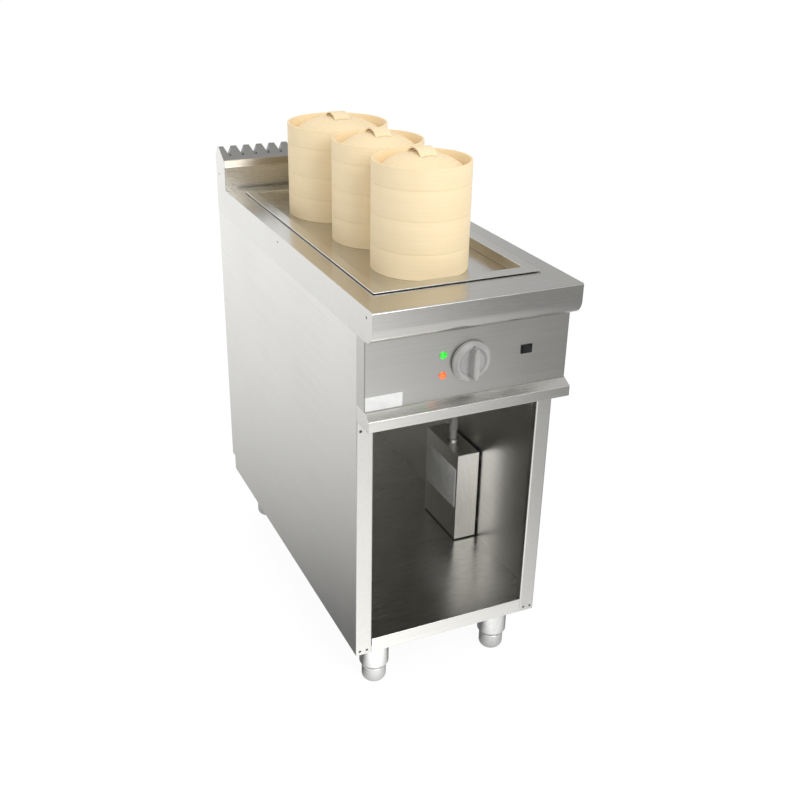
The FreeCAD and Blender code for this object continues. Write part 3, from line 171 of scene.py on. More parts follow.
def board(shape, grain, low, high, ease, along_axis):
    """A straight board with eased long edges, its grain along one axis."""
    first_axis, second_axis = [axis for axis in range(3) if axis != along_axis]
    corners = [
        (low[first_axis], low[second_axis]), (high[first_axis], low[second_axis]),
        (high[first_axis], high[second_axis]), (low[first_axis], high[second_axis]),
    ]
    profile = eased(corners, ease, BOARD_BITS)
    ends = [low[along_axis], high[along_axis]]
    rows = []
    for end in ends:
        row = []
        for first, second in profile:
            point = Vector()
            point[along_axis] = end
            point[first_axis] = first
            point[second_axis] = second
            row.append(point)
        rows.append(row)
    capped_skin(shape, grain, rows, ends, path_lengths(profile))


def plate(shape, grain, centre, right, size, thickness, corner, ease):
    """An upright thin plate with round corners and an eased front edge, facing right cross up."""
    out = right.cross(UP)
    half_width = size[0] / 2
    half_height = size[1] / 2
    bow = ease * PLATE_BOW
    rows = []
    for inset, depth in ((0, 0), (0, thickness - ease), (bow, thickness - bow), (ease, thickness)):
        wide = half_width - inset
        tall = half_height - inset
        corners = [(-wide, -tall), (wide, -tall), (wide, tall), (-wide, tall)]
        flat = eased(corners, corner - inset, CORNER_BITS)
        rows.append([centre + right * x + UP * z + out * depth for x, z in flat])
    capped_skin(shape, grain, rows, [0, thickness, thickness, thickness], path_lengths(rows[0]))


def piece(name, shape, body, material, stands_for=()):
    """Makes a finished shape a piece that rides on a body and may stand for CAD nodes."""
    bmesh.ops.recalc_face_normals(shape, faces=shape.faces)
    mesh = bpy.data.meshes.new(name)
    shape.to_mesh(mesh)
    shape.free()
    mesh.shade_smooth()
    mesh.set_sharp_from_angle(angle=SHARP_ANGLE)
    mesh.materials.append(material)
    made = bpy.data.objects.new(name, mesh)
    scene.collection.objects.link(made)
    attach(made, body)
    if stands_for:
        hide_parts(*stands_for)


def upright_axis(low, high, level=0.0):
    """The middle of a box in plan, at a level."""
    return Vector(((low.x + high.x) / 2, (low.y + high.y) / 2, level))


# Node helpers. NOISE_RANGE is where noise mostly keeps to. EDGE_MATCH is the dot product of a rounded normal
# and the flat one, on an edge and off it.
NOISE_RANGE = (0.3, 0.7)
EDGE_MATCH = (0.8, 0.995)
EDGE_SAMPLES = 6


class NodeKit:
    """Short calls for the nodes of one tree."""

    def __init__(self, tree):
        self.tree = tree

    def add(self, kind, **settings):
        node = self.tree.nodes.new(kind)
        for name, value in settings.items():
            setattr(node, name, value)
        return node

    def join(self, value, socket):
        """Links a node's output to a socket, or sets the socket to a plain value."""
        if isinstance(value, bpy.types.NodeSocket):
            self.tree.links.new(value, socket)
        else:
            socket.default_value = value

    def math(self, operation, *values):
        node = self.add("ShaderNodeMath", operation=operation)
        for value, socket in zip(values, node.inputs):
            self.join(value, socket)
        return node.outputs["Value"]

    def ramp(self, value, from_low, from_high, to_low, to_high):
        """A value from one range laid on another."""
        node = self.add("ShaderNodeMapRange")
        for number, socket in zip((value, from_low, from_high, to_low, to_high), node.inputs):
            self.join(number, socket)
        return node.outputs["Result"]

    def place(self, output="Object"):
        return self.add("ShaderNodeTexCoord").outputs[output]

    def axes(self, place):
        split = self.add("ShaderNodeSeparateXYZ")
        self.join(place, split.inputs["Vector"])
        return split.outputs


class Recipe(NodeKit):
    """A new material's node tree, with the calls that the finishes share."""

    def __init__(self, name):
        self.material = bpy.data.materials.new(name)
        self.material.use_nodes = True
        super().__init__(self.material.node_tree)
        self.shader = self.tree.nodes["Principled BSDF"]

    def feed(self, name, value):
        self.join(value, self.shader.inputs[name])

    def grain_map(self):
        return self.add("ShaderNodeUVMap", uv_map="grain").outputs["UV"]

    def stretched(self, place, scale):
        node = self.add("ShaderNodeMapping")
        node.inputs["Scale"].default_value = scale
        self.join(place, node.inputs["Vector"])
        return node.outputs["Vector"]

    def noise(self, place, scale=1.0, detail=2.0, rough=0.5, distortion=0.0):
        node = self.add("ShaderNodeTexNoise")
        node.inputs["Scale"].default_value = scale
        node.inputs["Detail"].default_value = detail
        node.inputs["Roughness"].default_value = rough
        node.inputs["Distortion"].default_value = distortion
        self.join(place, node.inputs["Vector"])
        return node.outputs["Fac"]

    def spread(self, value, low, high, source=NOISE_RANGE):
        """Noise, which mostly keeps to its source range, laid on another range."""
        return self.ramp(value, *source, low, high)

    def mix(self, share, first, second):
        """Colour between two colours, either of which may come from a node."""
        node = self.add("ShaderNodeMix", data_type="RGBA")
        sockets = [node.inputs[0], node.inputs[6], node.inputs[7]]
        for socket, value in zip(sockets, (share, first, second)):
            self.join((*value, 1.0) if isinstance(value, tuple) else value, socket)
        return node.outputs[2]

    def bump(self, height, strength, distance, normal=None):
        node = self.add("ShaderNodeBump")
        node.inputs["Strength"].default_value = strength
        node.inputs["Distance"].default_value = distance
        self.join(height, node.inputs["Height"])
        if normal is not None:
            self.join(normal, node.inputs["Normal"])
        return node.outputs["Normal"]

    def soft_edges(self, radius):
        """A normal that rounds every edge, and how near to an edge a spot is."""
        bevel = self.add("ShaderNodeBevel", samples=EDGE_SAMPLES)
        bevel.inputs["Radius"].default_value = radius
        flat = self.add("ShaderNodeNewGeometry").outputs["Normal"]
        dot = self.add("ShaderNodeVectorMath", operation="DOT_PRODUCT")
        self.join(bevel.outputs["Normal"], dot.inputs[0])
        self.join(flat, dot.inputs[1])
        near = self.ramp(dot.outputs["Value"], *EDGE_MATCH, 1.0, 0.0)
        return bevel.outputs["Normal"], near

    def toned(self, noise, colour, dark, light):
        """A colour that noise varies between a darker and a lighter tint of it."""
        return self.mix(self.spread(noise, 0.0, 1.0), tinted(colour, dark), tinted(colour, light))

    def wear_and_highlight_edges(self, near_edge, colour, bare, share):
        """A colour that turns to the lighter bare one by a share where an edge is near: a painted highlight
        along edges, and wear.
        """
        return self.mix(self.math("MULTIPLY", near_edge, share), colour, bare)


def tinted(colour, factor):
    return tuple(min(1.0, channel * factor) for channel in colour)


# Metal finishes: noise scales in waves to the metre, radii of the rounded edges, with their painted highlight
# and wear, in metres
BRUSH_ACROSS = 2600.0
BRUSH_ALONG = 22.0
STREAK_ACROSS = 230.0
STREAK_ALONG = 3.5
SMEAR_SCALE = 5.0
SHEET_EDGE = 0.0009
HEAT_BLOOM = (0.46, 0.40, 0.32)
RING_SCALE = (40.0, 40.0, 1500.0)
SCUFF_SCALE = 160.0
POLISHED_EDGE = 0.0006
TUBE_SCALE = 90.0
TUBE_BLOOM = (30.0, 6.0, 30.0)


def along_grain(grain_axis, across, along):
    scale = [across] * 3
    scale[grain_axis] = along
    return scale


def brushed_steel(name, grain_axis, colour, rough, edge=SHEET_EDGE, bloom=None):
    """Stainless sheet brushed along one axis, with faint streaks, and edges lightened as a painted highlight
    and wear.

    Between the two levels of a bloom it darkens to the tint that heat gives.
    """
    recipe = Recipe(name)
    place = recipe.place()
    brush = recipe.stretched(place, along_grain(grain_axis, BRUSH_ACROSS, BRUSH_ALONG))
    fine = recipe.noise(brush, detail=3.0, rough=0.6)
    streak = recipe.noise(recipe.stretched(place, along_grain(grain_axis, STREAK_ACROSS, STREAK_ALONG)))
    cloud = recipe.noise(place, SMEAR_SCALE, detail=3.0)
    normal, near_edge = recipe.soft_edges(edge)
    sheet = recipe.toned(streak, colour, dark=0.97, light=1.03)
    if bloom:
        heat = recipe.ramp(recipe.axes(place)["Z"], *bloom, 0.0, 1.0)
        sheet = recipe.mix(heat, sheet, tuple(metal * tint for metal, tint in zip(colour, HEAT_BLOOM)))
    handled = recipe.mix(recipe.spread(cloud, 0.0, 0.3), sheet, tinted(colour, 0.93))
    # Edges lighten to 1.25 times the colour: a painted highlight, with wear.
    recipe.feed("Base Color", recipe.wear_and_highlight_edges(near_edge, handled, tinted(colour, 1.25), share=0.55))
    recipe.feed("Metallic", 1.0)
    grit = recipe.spread(fine, rough - 0.05, rough + 0.06)
    smear = recipe.spread(cloud, -0.02, 0.04)
    recipe.feed("Roughness", recipe.math("ADD", grit, smear))
    recipe.feed("Normal", recipe.bump(fine, strength=0.12, distance=0.00003, normal=normal))
    return recipe.material


def polished_steel(name, colour, rough):
    """Turned or drawn metal: faint rings of tool marks and small scuffs."""
    recipe = Recipe(name)
    place = recipe.place()
    rings = recipe.noise(recipe.stretched(place, RING_SCALE))
    scuff = recipe.noise(place, SCUFF_SCALE, detail=4.0, rough=0.65)
    normal, near_edge = recipe.soft_edges(POLISHED_EDGE)
    metal = recipe.toned(scuff, colour, dark=0.92, light=1.05)
    # Edges lighten to 1.2 times the colour: a painted highlight, with wear.
    recipe.feed("Base Color", recipe.wear_and_highlight_edges(near_edge, metal, tinted(colour, 1.2), share=0.5))
    recipe.feed("Metallic", 1.0)
    marks = recipe.spread(rings, rough - 0.04, rough + 0.04)
    recipe.feed("Roughness", recipe.math("ADD", marks, recipe.spread(scuff, -0.03, 0.05)))
    recipe.feed("Normal", recipe.bump(rings, strength=0.1, distance=0.00004, normal=normal))
    return recipe.material


def heated_tube(name):
    """Heating tube with the brown bloom of heat and scale along it."""
    recipe = Recipe(name)
    place = recipe.place()
    scale = recipe.noise(place, TUBE_SCALE, detail=5.0, rough=0.7)
    bloom = recipe.noise(recipe.stretched(place, TUBE_BLOOM), detail=3.0)
    metal = recipe.mix(recipe.spread(bloom, 0.0, 1.0), (0.22, 0.19, 0.16), (0.36, 0.33, 0.30))
    chalk = recipe.spread(scale, 0.0, 0.7, (0.5, 0.75))
    recipe.feed("Base Color", recipe.mix(chalk, metal, (0.5, 0.47, 0.42)))
    recipe.feed("Metallic", recipe.spread(scale, 0.95, 0.45, (0.5, 0.8)))
    recipe.feed("Roughness", recipe.spread(scale, 0.34, 0.62))
    recipe.feed("Normal", recipe.bump(scale, strength=0.35, distance=0.0002))
    return recipe.material


# Plastic, rubber, enamel and lamp lenses
GLOSS_CLOUD = 45.0
GRIT_DEPTH = 0.15
MOULDED_EDGE = 0.0005
LENS_RIPPLE = 900.0
LENS_GLOW = 260.0


def moulded(name, colour, rough, grit_size, sheen_edge=1.25, gloss=0.5):
    """Moulded plastic or rubber: fine spark texture, cloudy gloss, and edges lightened by sheen_edge as a
    painted highlight and wear.
    """
    recipe = Recipe(name)
    place = recipe.place()
    grit = recipe.noise(place, 1.0 / grit_size)
    cloud = recipe.noise(place, GLOSS_CLOUD, detail=3.0)
    normal, near_edge = recipe.soft_edges(MOULDED_EDGE)
    flat = recipe.toned(cloud, colour, dark=0.9, light=1.06)
    # Edges lighten by sheen_edge: a painted highlight, with wear.
    recipe.feed("Base Color", recipe.wear_and_highlight_edges(near_edge, flat, tinted(colour, sheen_edge), share=0.5))
    spark = recipe.spread(grit, rough - 0.04, rough + 0.05)
    recipe.feed("Roughness", recipe.math("ADD", spark, recipe.spread(cloud, -0.03, 0.05)))
    recipe.feed("Specular IOR Level", gloss)
    recipe.feed("Normal", recipe.bump(grit, strength=0.15, distance=grit_size * GRIT_DEPTH, normal=normal))
    return recipe.material


def lamp_lens(name, deep, bright):
    """Clear coloured lens that is lit from behind, with a cloudy glow and a rippled face."""
    recipe = Recipe(name)
    place = recipe.place()
    ripple = recipe.noise(place, LENS_RIPPLE)
    glow = recipe.noise(place, LENS_GLOW, detail=1.0)
    colour = recipe.mix(recipe.spread(glow, 0.0, 1.0), deep, bright)
    recipe.feed("Base Color", colour)
    recipe.feed("Emission Color", colour)
    recipe.feed("Emission Strength", 0.45)
    recipe.feed("Roughness", recipe.spread(ripple, 0.1, 0.22))
    recipe.feed("Coat Weight", 0.6)
    recipe.feed("Normal", recipe.bump(ripple, strength=0.2, distance=0.0002))
    return recipe.material


# Bamboo
BAMBOO_PALE = (0.925, 0.765, 0.505)
BAMBOO_DEEP = (0.80, 0.62, 0.37)
BAMBOO_FIBRE = (0.66, 0.48, 0.27)
FIBRE_ACROSS = 900.0
FIBRE_ALONG = 14.0
BROAD_SHARE = 0.16
SPECKLE_SCALE = 420.0
STAIN_SCALE = 14.0


def bamboo(name, place_of, fibre_scale):
    """Steamed bamboo strip: long pale fibres, scattered darker ones, growth speckle and a dull wax gloss."""
    recipe = Recipe(name)
    place = place_of(recipe)
    fibres = recipe.noise(recipe.stretched(place, fibre_scale), detail=4.0, rough=0.6, distortion=0.3)
    broad_scale = tuple(axis * BROAD_SHARE for axis in fibre_scale)
    broad = recipe.noise(recipe.stretched(place, broad_scale), detail=3.0)
    speckle = recipe.noise(recipe.place(), SPECKLE_SCALE)
    stain = recipe.noise(recipe.place(), STAIN_SCALE, detail=3.0)
    strip = recipe.mix(recipe.spread(broad, 0.0, 0.24), BAMBOO_PALE, BAMBOO_DEEP)
    streaked = recipe.mix(recipe.spread(fibres, 0.0, 0.12, (0.52, 0.78)), strip, BAMBOO_FIBRE)
    flecked = recipe.mix(recipe.spread(speckle, 0.0, 0.1, (0.6, 0.8)), streaked, BAMBOO_FIBRE)
    aged = recipe.mix(recipe.spread(stain, 0.0, 0.18, (0.45, 0.75)), flecked, BAMBOO_DEEP)
    recipe.feed("Base Color", aged)
    recipe.feed("Roughness", recipe.spread(fibres, 0.52, 0.68))
    recipe.feed("Specular IOR Level", 0.35)
    recipe.feed("Normal", recipe.bump(fibres, strength=0.25, distance=0.00025))
    return recipe.material


# The finishes and the CAD nodes that wear them
STEEL = (0.50, 0.495, 0.475)
FLUE_BLOOM = (0.899, 0.904)
BLACK = (0.012, 0.012, 0.013)
STACKS = ("front", "middle", "rear")
TIERS = ("lower", "middle", "upper")
# All these are one stainless STEEL in tinted copies: the lighter and darker tints are painted light and shade
# for each part.
side_steel = brushed_steel("side_steel", Y_AXIS, tinted(STEEL, 1.25), rough=0.34, edge=0.0015)
top_steel = brushed_steel("top_steel", X_AXIS, tinted(STEEL, 1.1), rough=0.2, edge=0.0012)
flue_steel = brushed_steel("flue_steel", X_AXIS, tinted(STEEL, 1.1), rough=0.24, edge=0.0022, bloom=FLUE_BLOOM)
grille_steel = brushed_steel("grille_steel", X_AXIS, tinted(STEEL, 0.5), rough=0.4)
panel_steel = brushed_steel("panel_steel", X_AXIS, tinted(STEEL, 0.96), rough=0.33)
lip_steel = brushed_steel("lip_steel", X_AXIS, tinted(STEEL, 1.27), rough=0.25, edge=0.0015)
inner_steel = brushed_steel("inner_steel", Z_AXIS, tinted(STEEL, 1.1), rough=0.27)
floor_steel = brushed_steel("floor_steel", X_AXIS, tinted(STEEL, 1.4), rough=0.25)
tank_steel = brushed_steel("tank_steel", Y_AXIS, tinted(STEEL, 1.2), rough=0.2, edge=0.0022)
box_steel = brushed_steel("box_steel", Z_AXIS, tinted(STEEL, 1.8), rough=0.3)
foot_steel = polished_steel("foot_steel", (0.68, 0.68, 0.67), rough=0.14)
# Near black: painted shade, so that the screw heads read as dark holes.
screw_steel = polished_steel("screw_steel", (0.10, 0.098, 0.095), rough=0.45)
pipe_steel = polished_steel("pipe_steel", (0.62, 0.61, 0.59), rough=0.28)
element_tube = heated_tube("element_tube")
knob_grey = moulded("knob_grey", (0.37, 0.365, 0.355), rough=0.36, grit_size=0.0004)
black_plastic = moulded("black_plastic", BLACK, rough=0.5, grit_size=0.0004, sheen_edge=2.0, gloss=0.2)
index_black = moulded("index_black", BLACK, rough=0.5, grit_size=0.0003, sheen_edge=2.0)
conduit_grey = moulded("conduit_grey", (0.46, 0.45, 0.43), rough=0.4, grit_size=0.0005)
seal_rubber = moulded("seal_rubber", (0.02, 0.02, 0.02), rough=0.6, grit_size=0.0006, sheen_edge=1.6)
plate_white = moulded("plate_white", (0.76, 0.76, 0.75), rough=0.32, grit_size=0.0005, sheen_edge=1.05)
green_lens = lamp_lens("green_lens", deep=(0.01, 0.50, 0.02), bright=(0.05, 0.80, 0.06))
orange_lens = lamp_lens("orange_lens", deep=(0.78, 0.10, 0.02), bright=(0.92, 0.22, 0.04))
bamboo_strip = bamboo("bamboo_strip", Recipe.grain_map, (FIBRE_ALONG, FIBRE_ACROSS, 1.0))
bamboo_strap = bamboo("bamboo_strap", Recipe.place, (FIBRE_ACROSS, FIBRE_ALONG, FIBRE_ACROSS))

FINISHES = (
    (side_steel, ("side_panel_left", "side_panel_right", "rear_panel", "flue_end_caps")),
    (top_steel, ("worktop",)),
    (flue_steel, ("flue_upstand",)),
    (grille_steel, ("flue_grille",)),
    (panel_steel, ("control_panel",)),
    (lip_steel, ("front_lip",)),
    (inner_steel, ("compartment_ceiling", "base_channels")),
    (floor_steel, ("base_shelf",)),
    (tank_steel, ("recess_tray", "steam_tank", "steam_deck", "element_plate")),
    (box_steel, ("junction_box", "junction_box_cover", "box_standoffs")),
    (foot_steel, ("foot_sockets",)),
    (screw_steel, ("side_screws", "post_screws")),
    (pipe_steel, ("drain_pipe", "water_inlet", "thermostat_shaft", "conduit_fittings")),
    (element_tube, ("heating_elements",)),
    (knob_grey, ("control_knob",)),
    (black_plastic, ("switch_housing", "switch_rocker", "lamp_housings", "thermostat", "cable_gland")),
    (seal_rubber, ("tank_gasket",)),
    (green_lens, ("green_lamp",)),
    (orange_lens, ("orange_lamp",)),
    (bamboo_strap, tuple(stack + "_handle" for stack in STACKS)),
)
for finish, names in FINISHES:
    for name in names:
        nodes[name].data.materials.clear()
        nodes[name].data.materials.append(finish)

# Basket make-up in metres, as the solids have it
HOOP = 0.004
LINING = 0.004
NEST_DEPTH = 0.005
NEST_ROOM = 0.001
NEST_GAP = 0.0004
SLAT_RISE = 0.001
SLAT_THICKNESS = 0.003
SLAT_WIDTH = 0.011
SLAT_PITCH = 0.017
DOME_DROP = 0.024
DOME_CROWN = 0.012
DOME_WALL = 0.0025

# Finer make-up that only the dressed baskets have
HOOP_EASE = 0.0009
SPLIT = 0.00015
LAP_WIDTH = 0.042
LAP_PROUD = 0.0006
LAP_EASE = LAP_PROUD * 0.6
LAP_TURNS = (math.radians(52), math.radians(64), math.radians(41), math.radians(58))
STITCH_WIDTH = 0.0032
STITCH_PROUD = 0.0006
STITCH_EASE = STITCH_PROUD * 0.7
STITCH_REACH = 0.3
STITCH_PLACES = (0.2, 0.5, 0.8)
BATTEN_WIDTH = 0.008
BATTEN_PLACE = 0.45
BATTEN_EASE = SLAT_THICKNESS * 0.2
SLAT_EASE = SLAT_THICKNESS * 0.25
WEAVE_PITCH = 0.009
WEAVE_COVER = 0.94
WEAVE_SWING = 0.00022
WEAVE_THICKNESS = 0.0007
WEAVE_STEPS = 4


def basket_place(name):
    """A basket piece's upright axis, its outer radius, and its lowest and highest levels."""
    low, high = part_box(name)
    return upright_axis(low, high), (high.x - low.x) / 2, low.z, high.z


def hoop_ring(shape, grain, centre, radii, heights):
    inner, outer = radii
    foot, rim = heights
    corners = [(inner, foot), (outer, foot), (outer, rim), (inner, rim)]
    turned(shape, grain, eased(corners, HOOP_EASE), centre)


def hoop_lap(shape, grain, centre, radius, heights, turn):
    """Where the hoop's strip ends over itself, held by three cane stitches."""
    foot, rim = heights
    margin = HOOP_EASE * 2
    bent_strip(shape, grain, centre, (radius - SPLIT, radius + LAP_PROUD), (foot + margin, rim - margin),
               turn, LAP_WIDTH, LAP_EASE)
    reach = (rim - foot) * STITCH_REACH
    middle = (foot + rim) / 2
    for share in STITCH_PLACES:
        stitch = turn + (LAP_WIDTH * share - STITCH_WIDTH / 2) / radius
        bent_strip(shape, grain, centre, (radius, radius + LAP_PROUD + STITCH_PROUD),
                   (middle - reach, middle + reach), stitch, STITCH_WIDTH, STITCH_EASE, STITCH_STEPS)


def slatted_floor(shape, grain, centre, reach, level):
    """Slats across a tier, carried by two battens under them."""
    count = int(reach / SLAT_PITCH)
    for number in range(-count - 1, count + 1):
        x = (number + 0.5) * SLAT_PITCH
        far = abs(x) + SLAT_WIDTH / 2
        if far >= reach:
            continue
        half = math.sqrt(reach ** 2 - far ** 2)
        low = Vector((centre.x + x - SLAT_WIDTH / 2, centre.y - half, level))
        high = Vector((centre.x + x + SLAT_WIDTH / 2, centre.y + half, level + SLAT_THICKNESS))
        board(shape, grain, low, high, SLAT_EASE, Y_AXIS)
    for side in (-1, 1):
        y = side * BATTEN_PLACE * reach
        half = math.sqrt(reach ** 2 - (abs(y) + BATTEN_WIDTH / 2) ** 2)
        low = Vector((centre.x - half, centre.y + y - BATTEN_WIDTH / 2, level - SLAT_THICKNESS))
        high = Vector((centre.x + half, centre.y + y + BATTEN_WIDTH / 2, level))
        board(shape, grain, low, high, BATTEN_EASE, X_AXIS)


def basket_tier(name, lap_turn):
    centre, radius, low, rim = basket_place(name)
    foot = low + NEST_DEPTH
    mouth = radius - HOOP
    neck = mouth - NEST_GAP
    room = mouth - LINING
    shape, grain = shape_with_grain()
    hoop_ring(shape, grain, centre, (mouth, radius), (foot, rim))
    hoop_lap(shape, grain, centre, radius, (foot, rim), lap_turn)
    hoop_ring(shape, grain, centre, (room, neck), (low, rim - NEST_DEPTH - NEST_ROOM))
    slatted_floor(shape, grain, centre, room + SPLIT, foot + SLAT_RISE)
    piece(name + "_bamboo", shape, name, bamboo_strip, (name,))


def dome_point(ball_centre, ball, x, y, offset):
    """A spot over or under the lid's dome, straight out from the middle of its ball."""
    across = Vector((x, y, math.sqrt(ball ** 2 - x ** 2 - y ** 2)))
    return ball_centre + across * ((ball + offset) / ball)


def woven_strip(shape, grain, ball_centre, ball, half, number, crosswise):
    """One strip of the lid's weave, which swings over and under the strips that cross it."""
    middle = number * WEAVE_PITCH
    half_width = WEAVE_PITCH * WEAVE_COVER / 2
    steps = max(WEAVE_STEPS, int(half * 2 / WEAVE_PITCH * WEAVE_STEPS))
    along = [half * (2 * step / steps - 1) for step in range(steps + 1)]
    rows = []
    for way in along:
        swing = math.cos(math.pi * (way / WEAVE_PITCH + number)) * WEAVE_SWING
        middle_offset = (-swing if crosswise else swing) - WEAVE_SWING - WEAVE_THICKNESS
        row = []
        for side, lift in ((-1, 0.5), (1, 0.5), (1, -0.5), (-1, -0.5)):
            over = middle + side * half_width
            x, y = (over, way) if crosswise else (way, over)
            row.append(dome_point(ball_centre, ball, x, y, middle_offset + lift * WEAVE_THICKNESS))
        rows.append(row)
    across = [middle, middle + 2 * half_width, middle + 2 * half_width, middle, middle]
    capped_skin(shape, grain, rows, along, across)


def woven_dome(shape, grain, ball_centre, ball, reach):
    """Two sets of strips that pass over and under each other, laid on the dome."""
    count = int(reach / WEAVE_PITCH)
    half_width = WEAVE_PITCH * WEAVE_COVER / 2
    for crosswise in (False, True):
        for number in range(-count, count + 1):
            far = min(abs(number * WEAVE_PITCH) + half_width, reach)
            half = math.sqrt(reach ** 2 - far ** 2)
            if half >= WEAVE_PITCH / 2:
                woven_strip(shape, grain, ball_centre, ball, half, number, crosswise)


def dome_lining(shape, grain, ball_centre, ball, reach):
    """Thin shell under the weave, with a pinhole at the crown that the weave covers."""
    top = WEAVE_SWING * 2 + WEAVE_THICKNESS
    profile = []
    for offset, steps in ((-top, range(DOME_STEPS + 1)), (-DOME_WALL, range(DOME_STEPS, -1, -1))):
        for step in steps:
            radius = max(reach * step / DOME_STEPS, SPLIT)
            profile.append((radius, dome_point(ball_centre, ball, radius, 0, offset).z))
    turned(shape, grain, profile, Vector((ball_centre.x, ball_centre.y, 0)), DOME_TURN_STEPS)


def basket_lid(stack, lap_turn):
    name = stack + "_lid"
    centre, radius, low, crown = basket_place(name)
    foot = low + NEST_DEPTH
    rim = crown - DOME_CROWN
    mouth = radius - HOOP
    neck = mouth - NEST_GAP
    room = mouth - LINING
    rise = DOME_CROWN + DOME_DROP
    ball = (mouth ** 2 + rise ** 2) / (2 * rise)
    ball_centre = centre + Vector((0, 0, crown - ball))
    shape, grain = shape_with_grain()
    hoop_ring(shape, grain, centre, (mouth, radius), (foot, rim))
    hoop_lap(shape, grain, centre, radius, (foot, rim), lap_turn)
    hoop_ring(shape, grain, centre, (room, neck), (low, rim - DOME_DROP - DOME_WALL))
    dome_lining(shape, grain, ball_centre, ball, mouth - SPLIT)
    woven_dome(shape, grain, ball_centre, ball, mouth - SPLIT)
    piece(name + "_bamboo", shape, name, bamboo_strip, (name,))


for stack in STACKS:
    for tier, lap_turn in zip(TIERS, LAP_TURNS):
        basket_tier("%s_tier_%s" % (stack, tier), lap_turn)
    basket_lid(stack, LAP_TURNS[-1])

# Ribbed conduit between the junction box and the compartment ceiling
CONDUIT_RIBS = 52
CONDUIT_ROOT = 0.0083
CONDUIT_BORE = 0.0066
RIB_BITS = 6
RIB_FULLNESS = 0.7


def ribbed_conduit():
    low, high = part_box("conduit")
    crest = (high.x - low.x) / 2
    straight = crest * 2
    pitch = (high.z - low.z - 2 * straight) / CONDUIT_RIBS
    profile = [(CONDUIT_BORE, low.z), (CONDUIT_ROOT, low.z)]
    for step in range(CONDUIT_RIBS * RIB_BITS + 1):
        swell = (1 - math.cos(2 * math.pi * step / RIB_BITS)) / 2
        height = low.z + straight + step * pitch / RIB_BITS
        profile.append((CONDUIT_ROOT + (crest - CONDUIT_ROOT) * swell ** RIB_FULLNESS, height))
    profile += [(CONDUIT_ROOT, high.z), (CONDUIT_BORE, high.z)]
    shape, grain = shape_with_grain()
    turned(shape, grain, profile, upright_axis(low, high), CONDUIT_STEPS)
    piece("ribbed_conduit", shape, "cabinet", conduit_grey, ("conduit",))


ribbed_conduit()

# Adjustable feet: polished sleeve with a rounded sole, on its threaded stem
FEET = ("foot_front_left", "foot_front_right", "foot_rear_left", "foot_rear_right")
SLEEVE_HEIGHT = 0.038
SLEEVE_ROUND = 0.014
SLEEVE_BITS = 10
SLEEVE_EASE = 0.0009
STEM_RADIUS = 0.005
THREAD_PITCH = 0.0015
THREAD_DEPTH = 0.0004


def turned_foot(name):
    low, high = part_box(name)
    radius = (high.x - low.x) / 2
    profile = []
    for bit in range(SLEEVE_BITS + 1):
        turn = math.pi / 2 * bit / SLEEVE_BITS
        profile.append((radius - SLEEVE_ROUND * (1 - math.sin(turn)), SLEEVE_ROUND * (1 - math.cos(turn))))
    profile += [(radius, SLEEVE_HEIGHT - SLEEVE_EASE), (radius - SLEEVE_EASE, SLEEVE_HEIGHT)]
    profile.append((STEM_RADIUS - THREAD_DEPTH, SLEEVE_HEIGHT))
    turns = int((high.z - low.z - SLEEVE_HEIGHT) / THREAD_PITCH)
    for thread in range(turns):
        level = SLEEVE_HEIGHT + thread * THREAD_PITCH
        profile.append((STEM_RADIUS, level + THREAD_PITCH / 2))
        profile.append((STEM_RADIUS - THREAD_DEPTH, level + THREAD_PITCH))
    shape, grain = shape_with_grain()
    turned_solid(shape, grain, profile, upright_axis(low, high, low.z), FOOT_STEPS)
    piece(name + "_turned", shape, name, foot_steel, (name,))


for name in FEET:
    turned_foot(name)

# Bare plates on the control panel and on the junction box, and the knob's index spot
PLATE_THICKNESS = 0.0008
PLATE_CORNER = 0.002
PLATE_EASE = 0.0003
FRONT_PLATE_SIZE = (0.0700, 0.0262)
FRONT_PLATE_PLACE = Vector((0.0363, 0, 0.0142))
BOX_PLATE_SIZE = (0.1370, 0.0970)
BOX_PLATE_PLACE = Vector((0, 0.0765, 0.0850))
INDEX_RISE = 0.029
INDEX_DEPTH = 0.0109
INDEX_SIZE = 0.0042
INDEX_EASE = 0.0001


def bare_plates():
    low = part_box("control_panel")[0]
    shape, grain = shape_with_grain()
    plate(shape, grain, low + FRONT_PLATE_PLACE, RIGHT, FRONT_PLATE_SIZE,
          PLATE_THICKNESS, PLATE_CORNER, PLATE_EASE)
    piece("front_bare_plate", shape, "cabinet", plate_white)
    low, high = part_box("junction_box_cover")
    left_top = Vector((low.x, high.y, high.z))
    shape, grain = shape_with_grain()
    plate(shape, grain, left_top - BOX_PLATE_PLACE, FRONT, BOX_PLATE_SIZE,
          PLATE_THICKNESS, PLATE_CORNER, PLATE_EASE)
    piece("box_bare_plate", shape, "cabinet", plate_white)


def knob_index():
    low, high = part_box("control_knob")
    centre = Vector(((low.x + high.x) / 2, high.y - INDEX_DEPTH, (low.z + high.z) / 2 + INDEX_RISE))
    shape, grain = shape_with_grain()
    plate(shape, grain, centre, RIGHT, (INDEX_SIZE, INDEX_SIZE),
          PLATE_THICKNESS / 2, INDEX_SIZE / 2, INDEX_EASE)
    piece("knob_index", shape, "knob", index_black)


bare_plates()
knob_index()

# Studio floor, white to the camera but for a share that keeps the object's shadow
FLOOR_HALF = 40.0
FLOOR_DROP = 0.0004
FLOOR_COLOUR = (0.8, 0.8, 0.8, 1.0)
FLOOR_WHITE = 1.06
CAMERA_SHARE = 0.88

# The floor as metal sees it beside the object, a painted shadow of the object: it brightens from GLOW_LEAST on
# with depth and distance aside
GLOW_WHITE = 1.36
GLOW_START = 0.18
GLOW_LEAST = 0.16
GLOW_ASIDE = 0.8
GLOW_DEPTH = 0.72

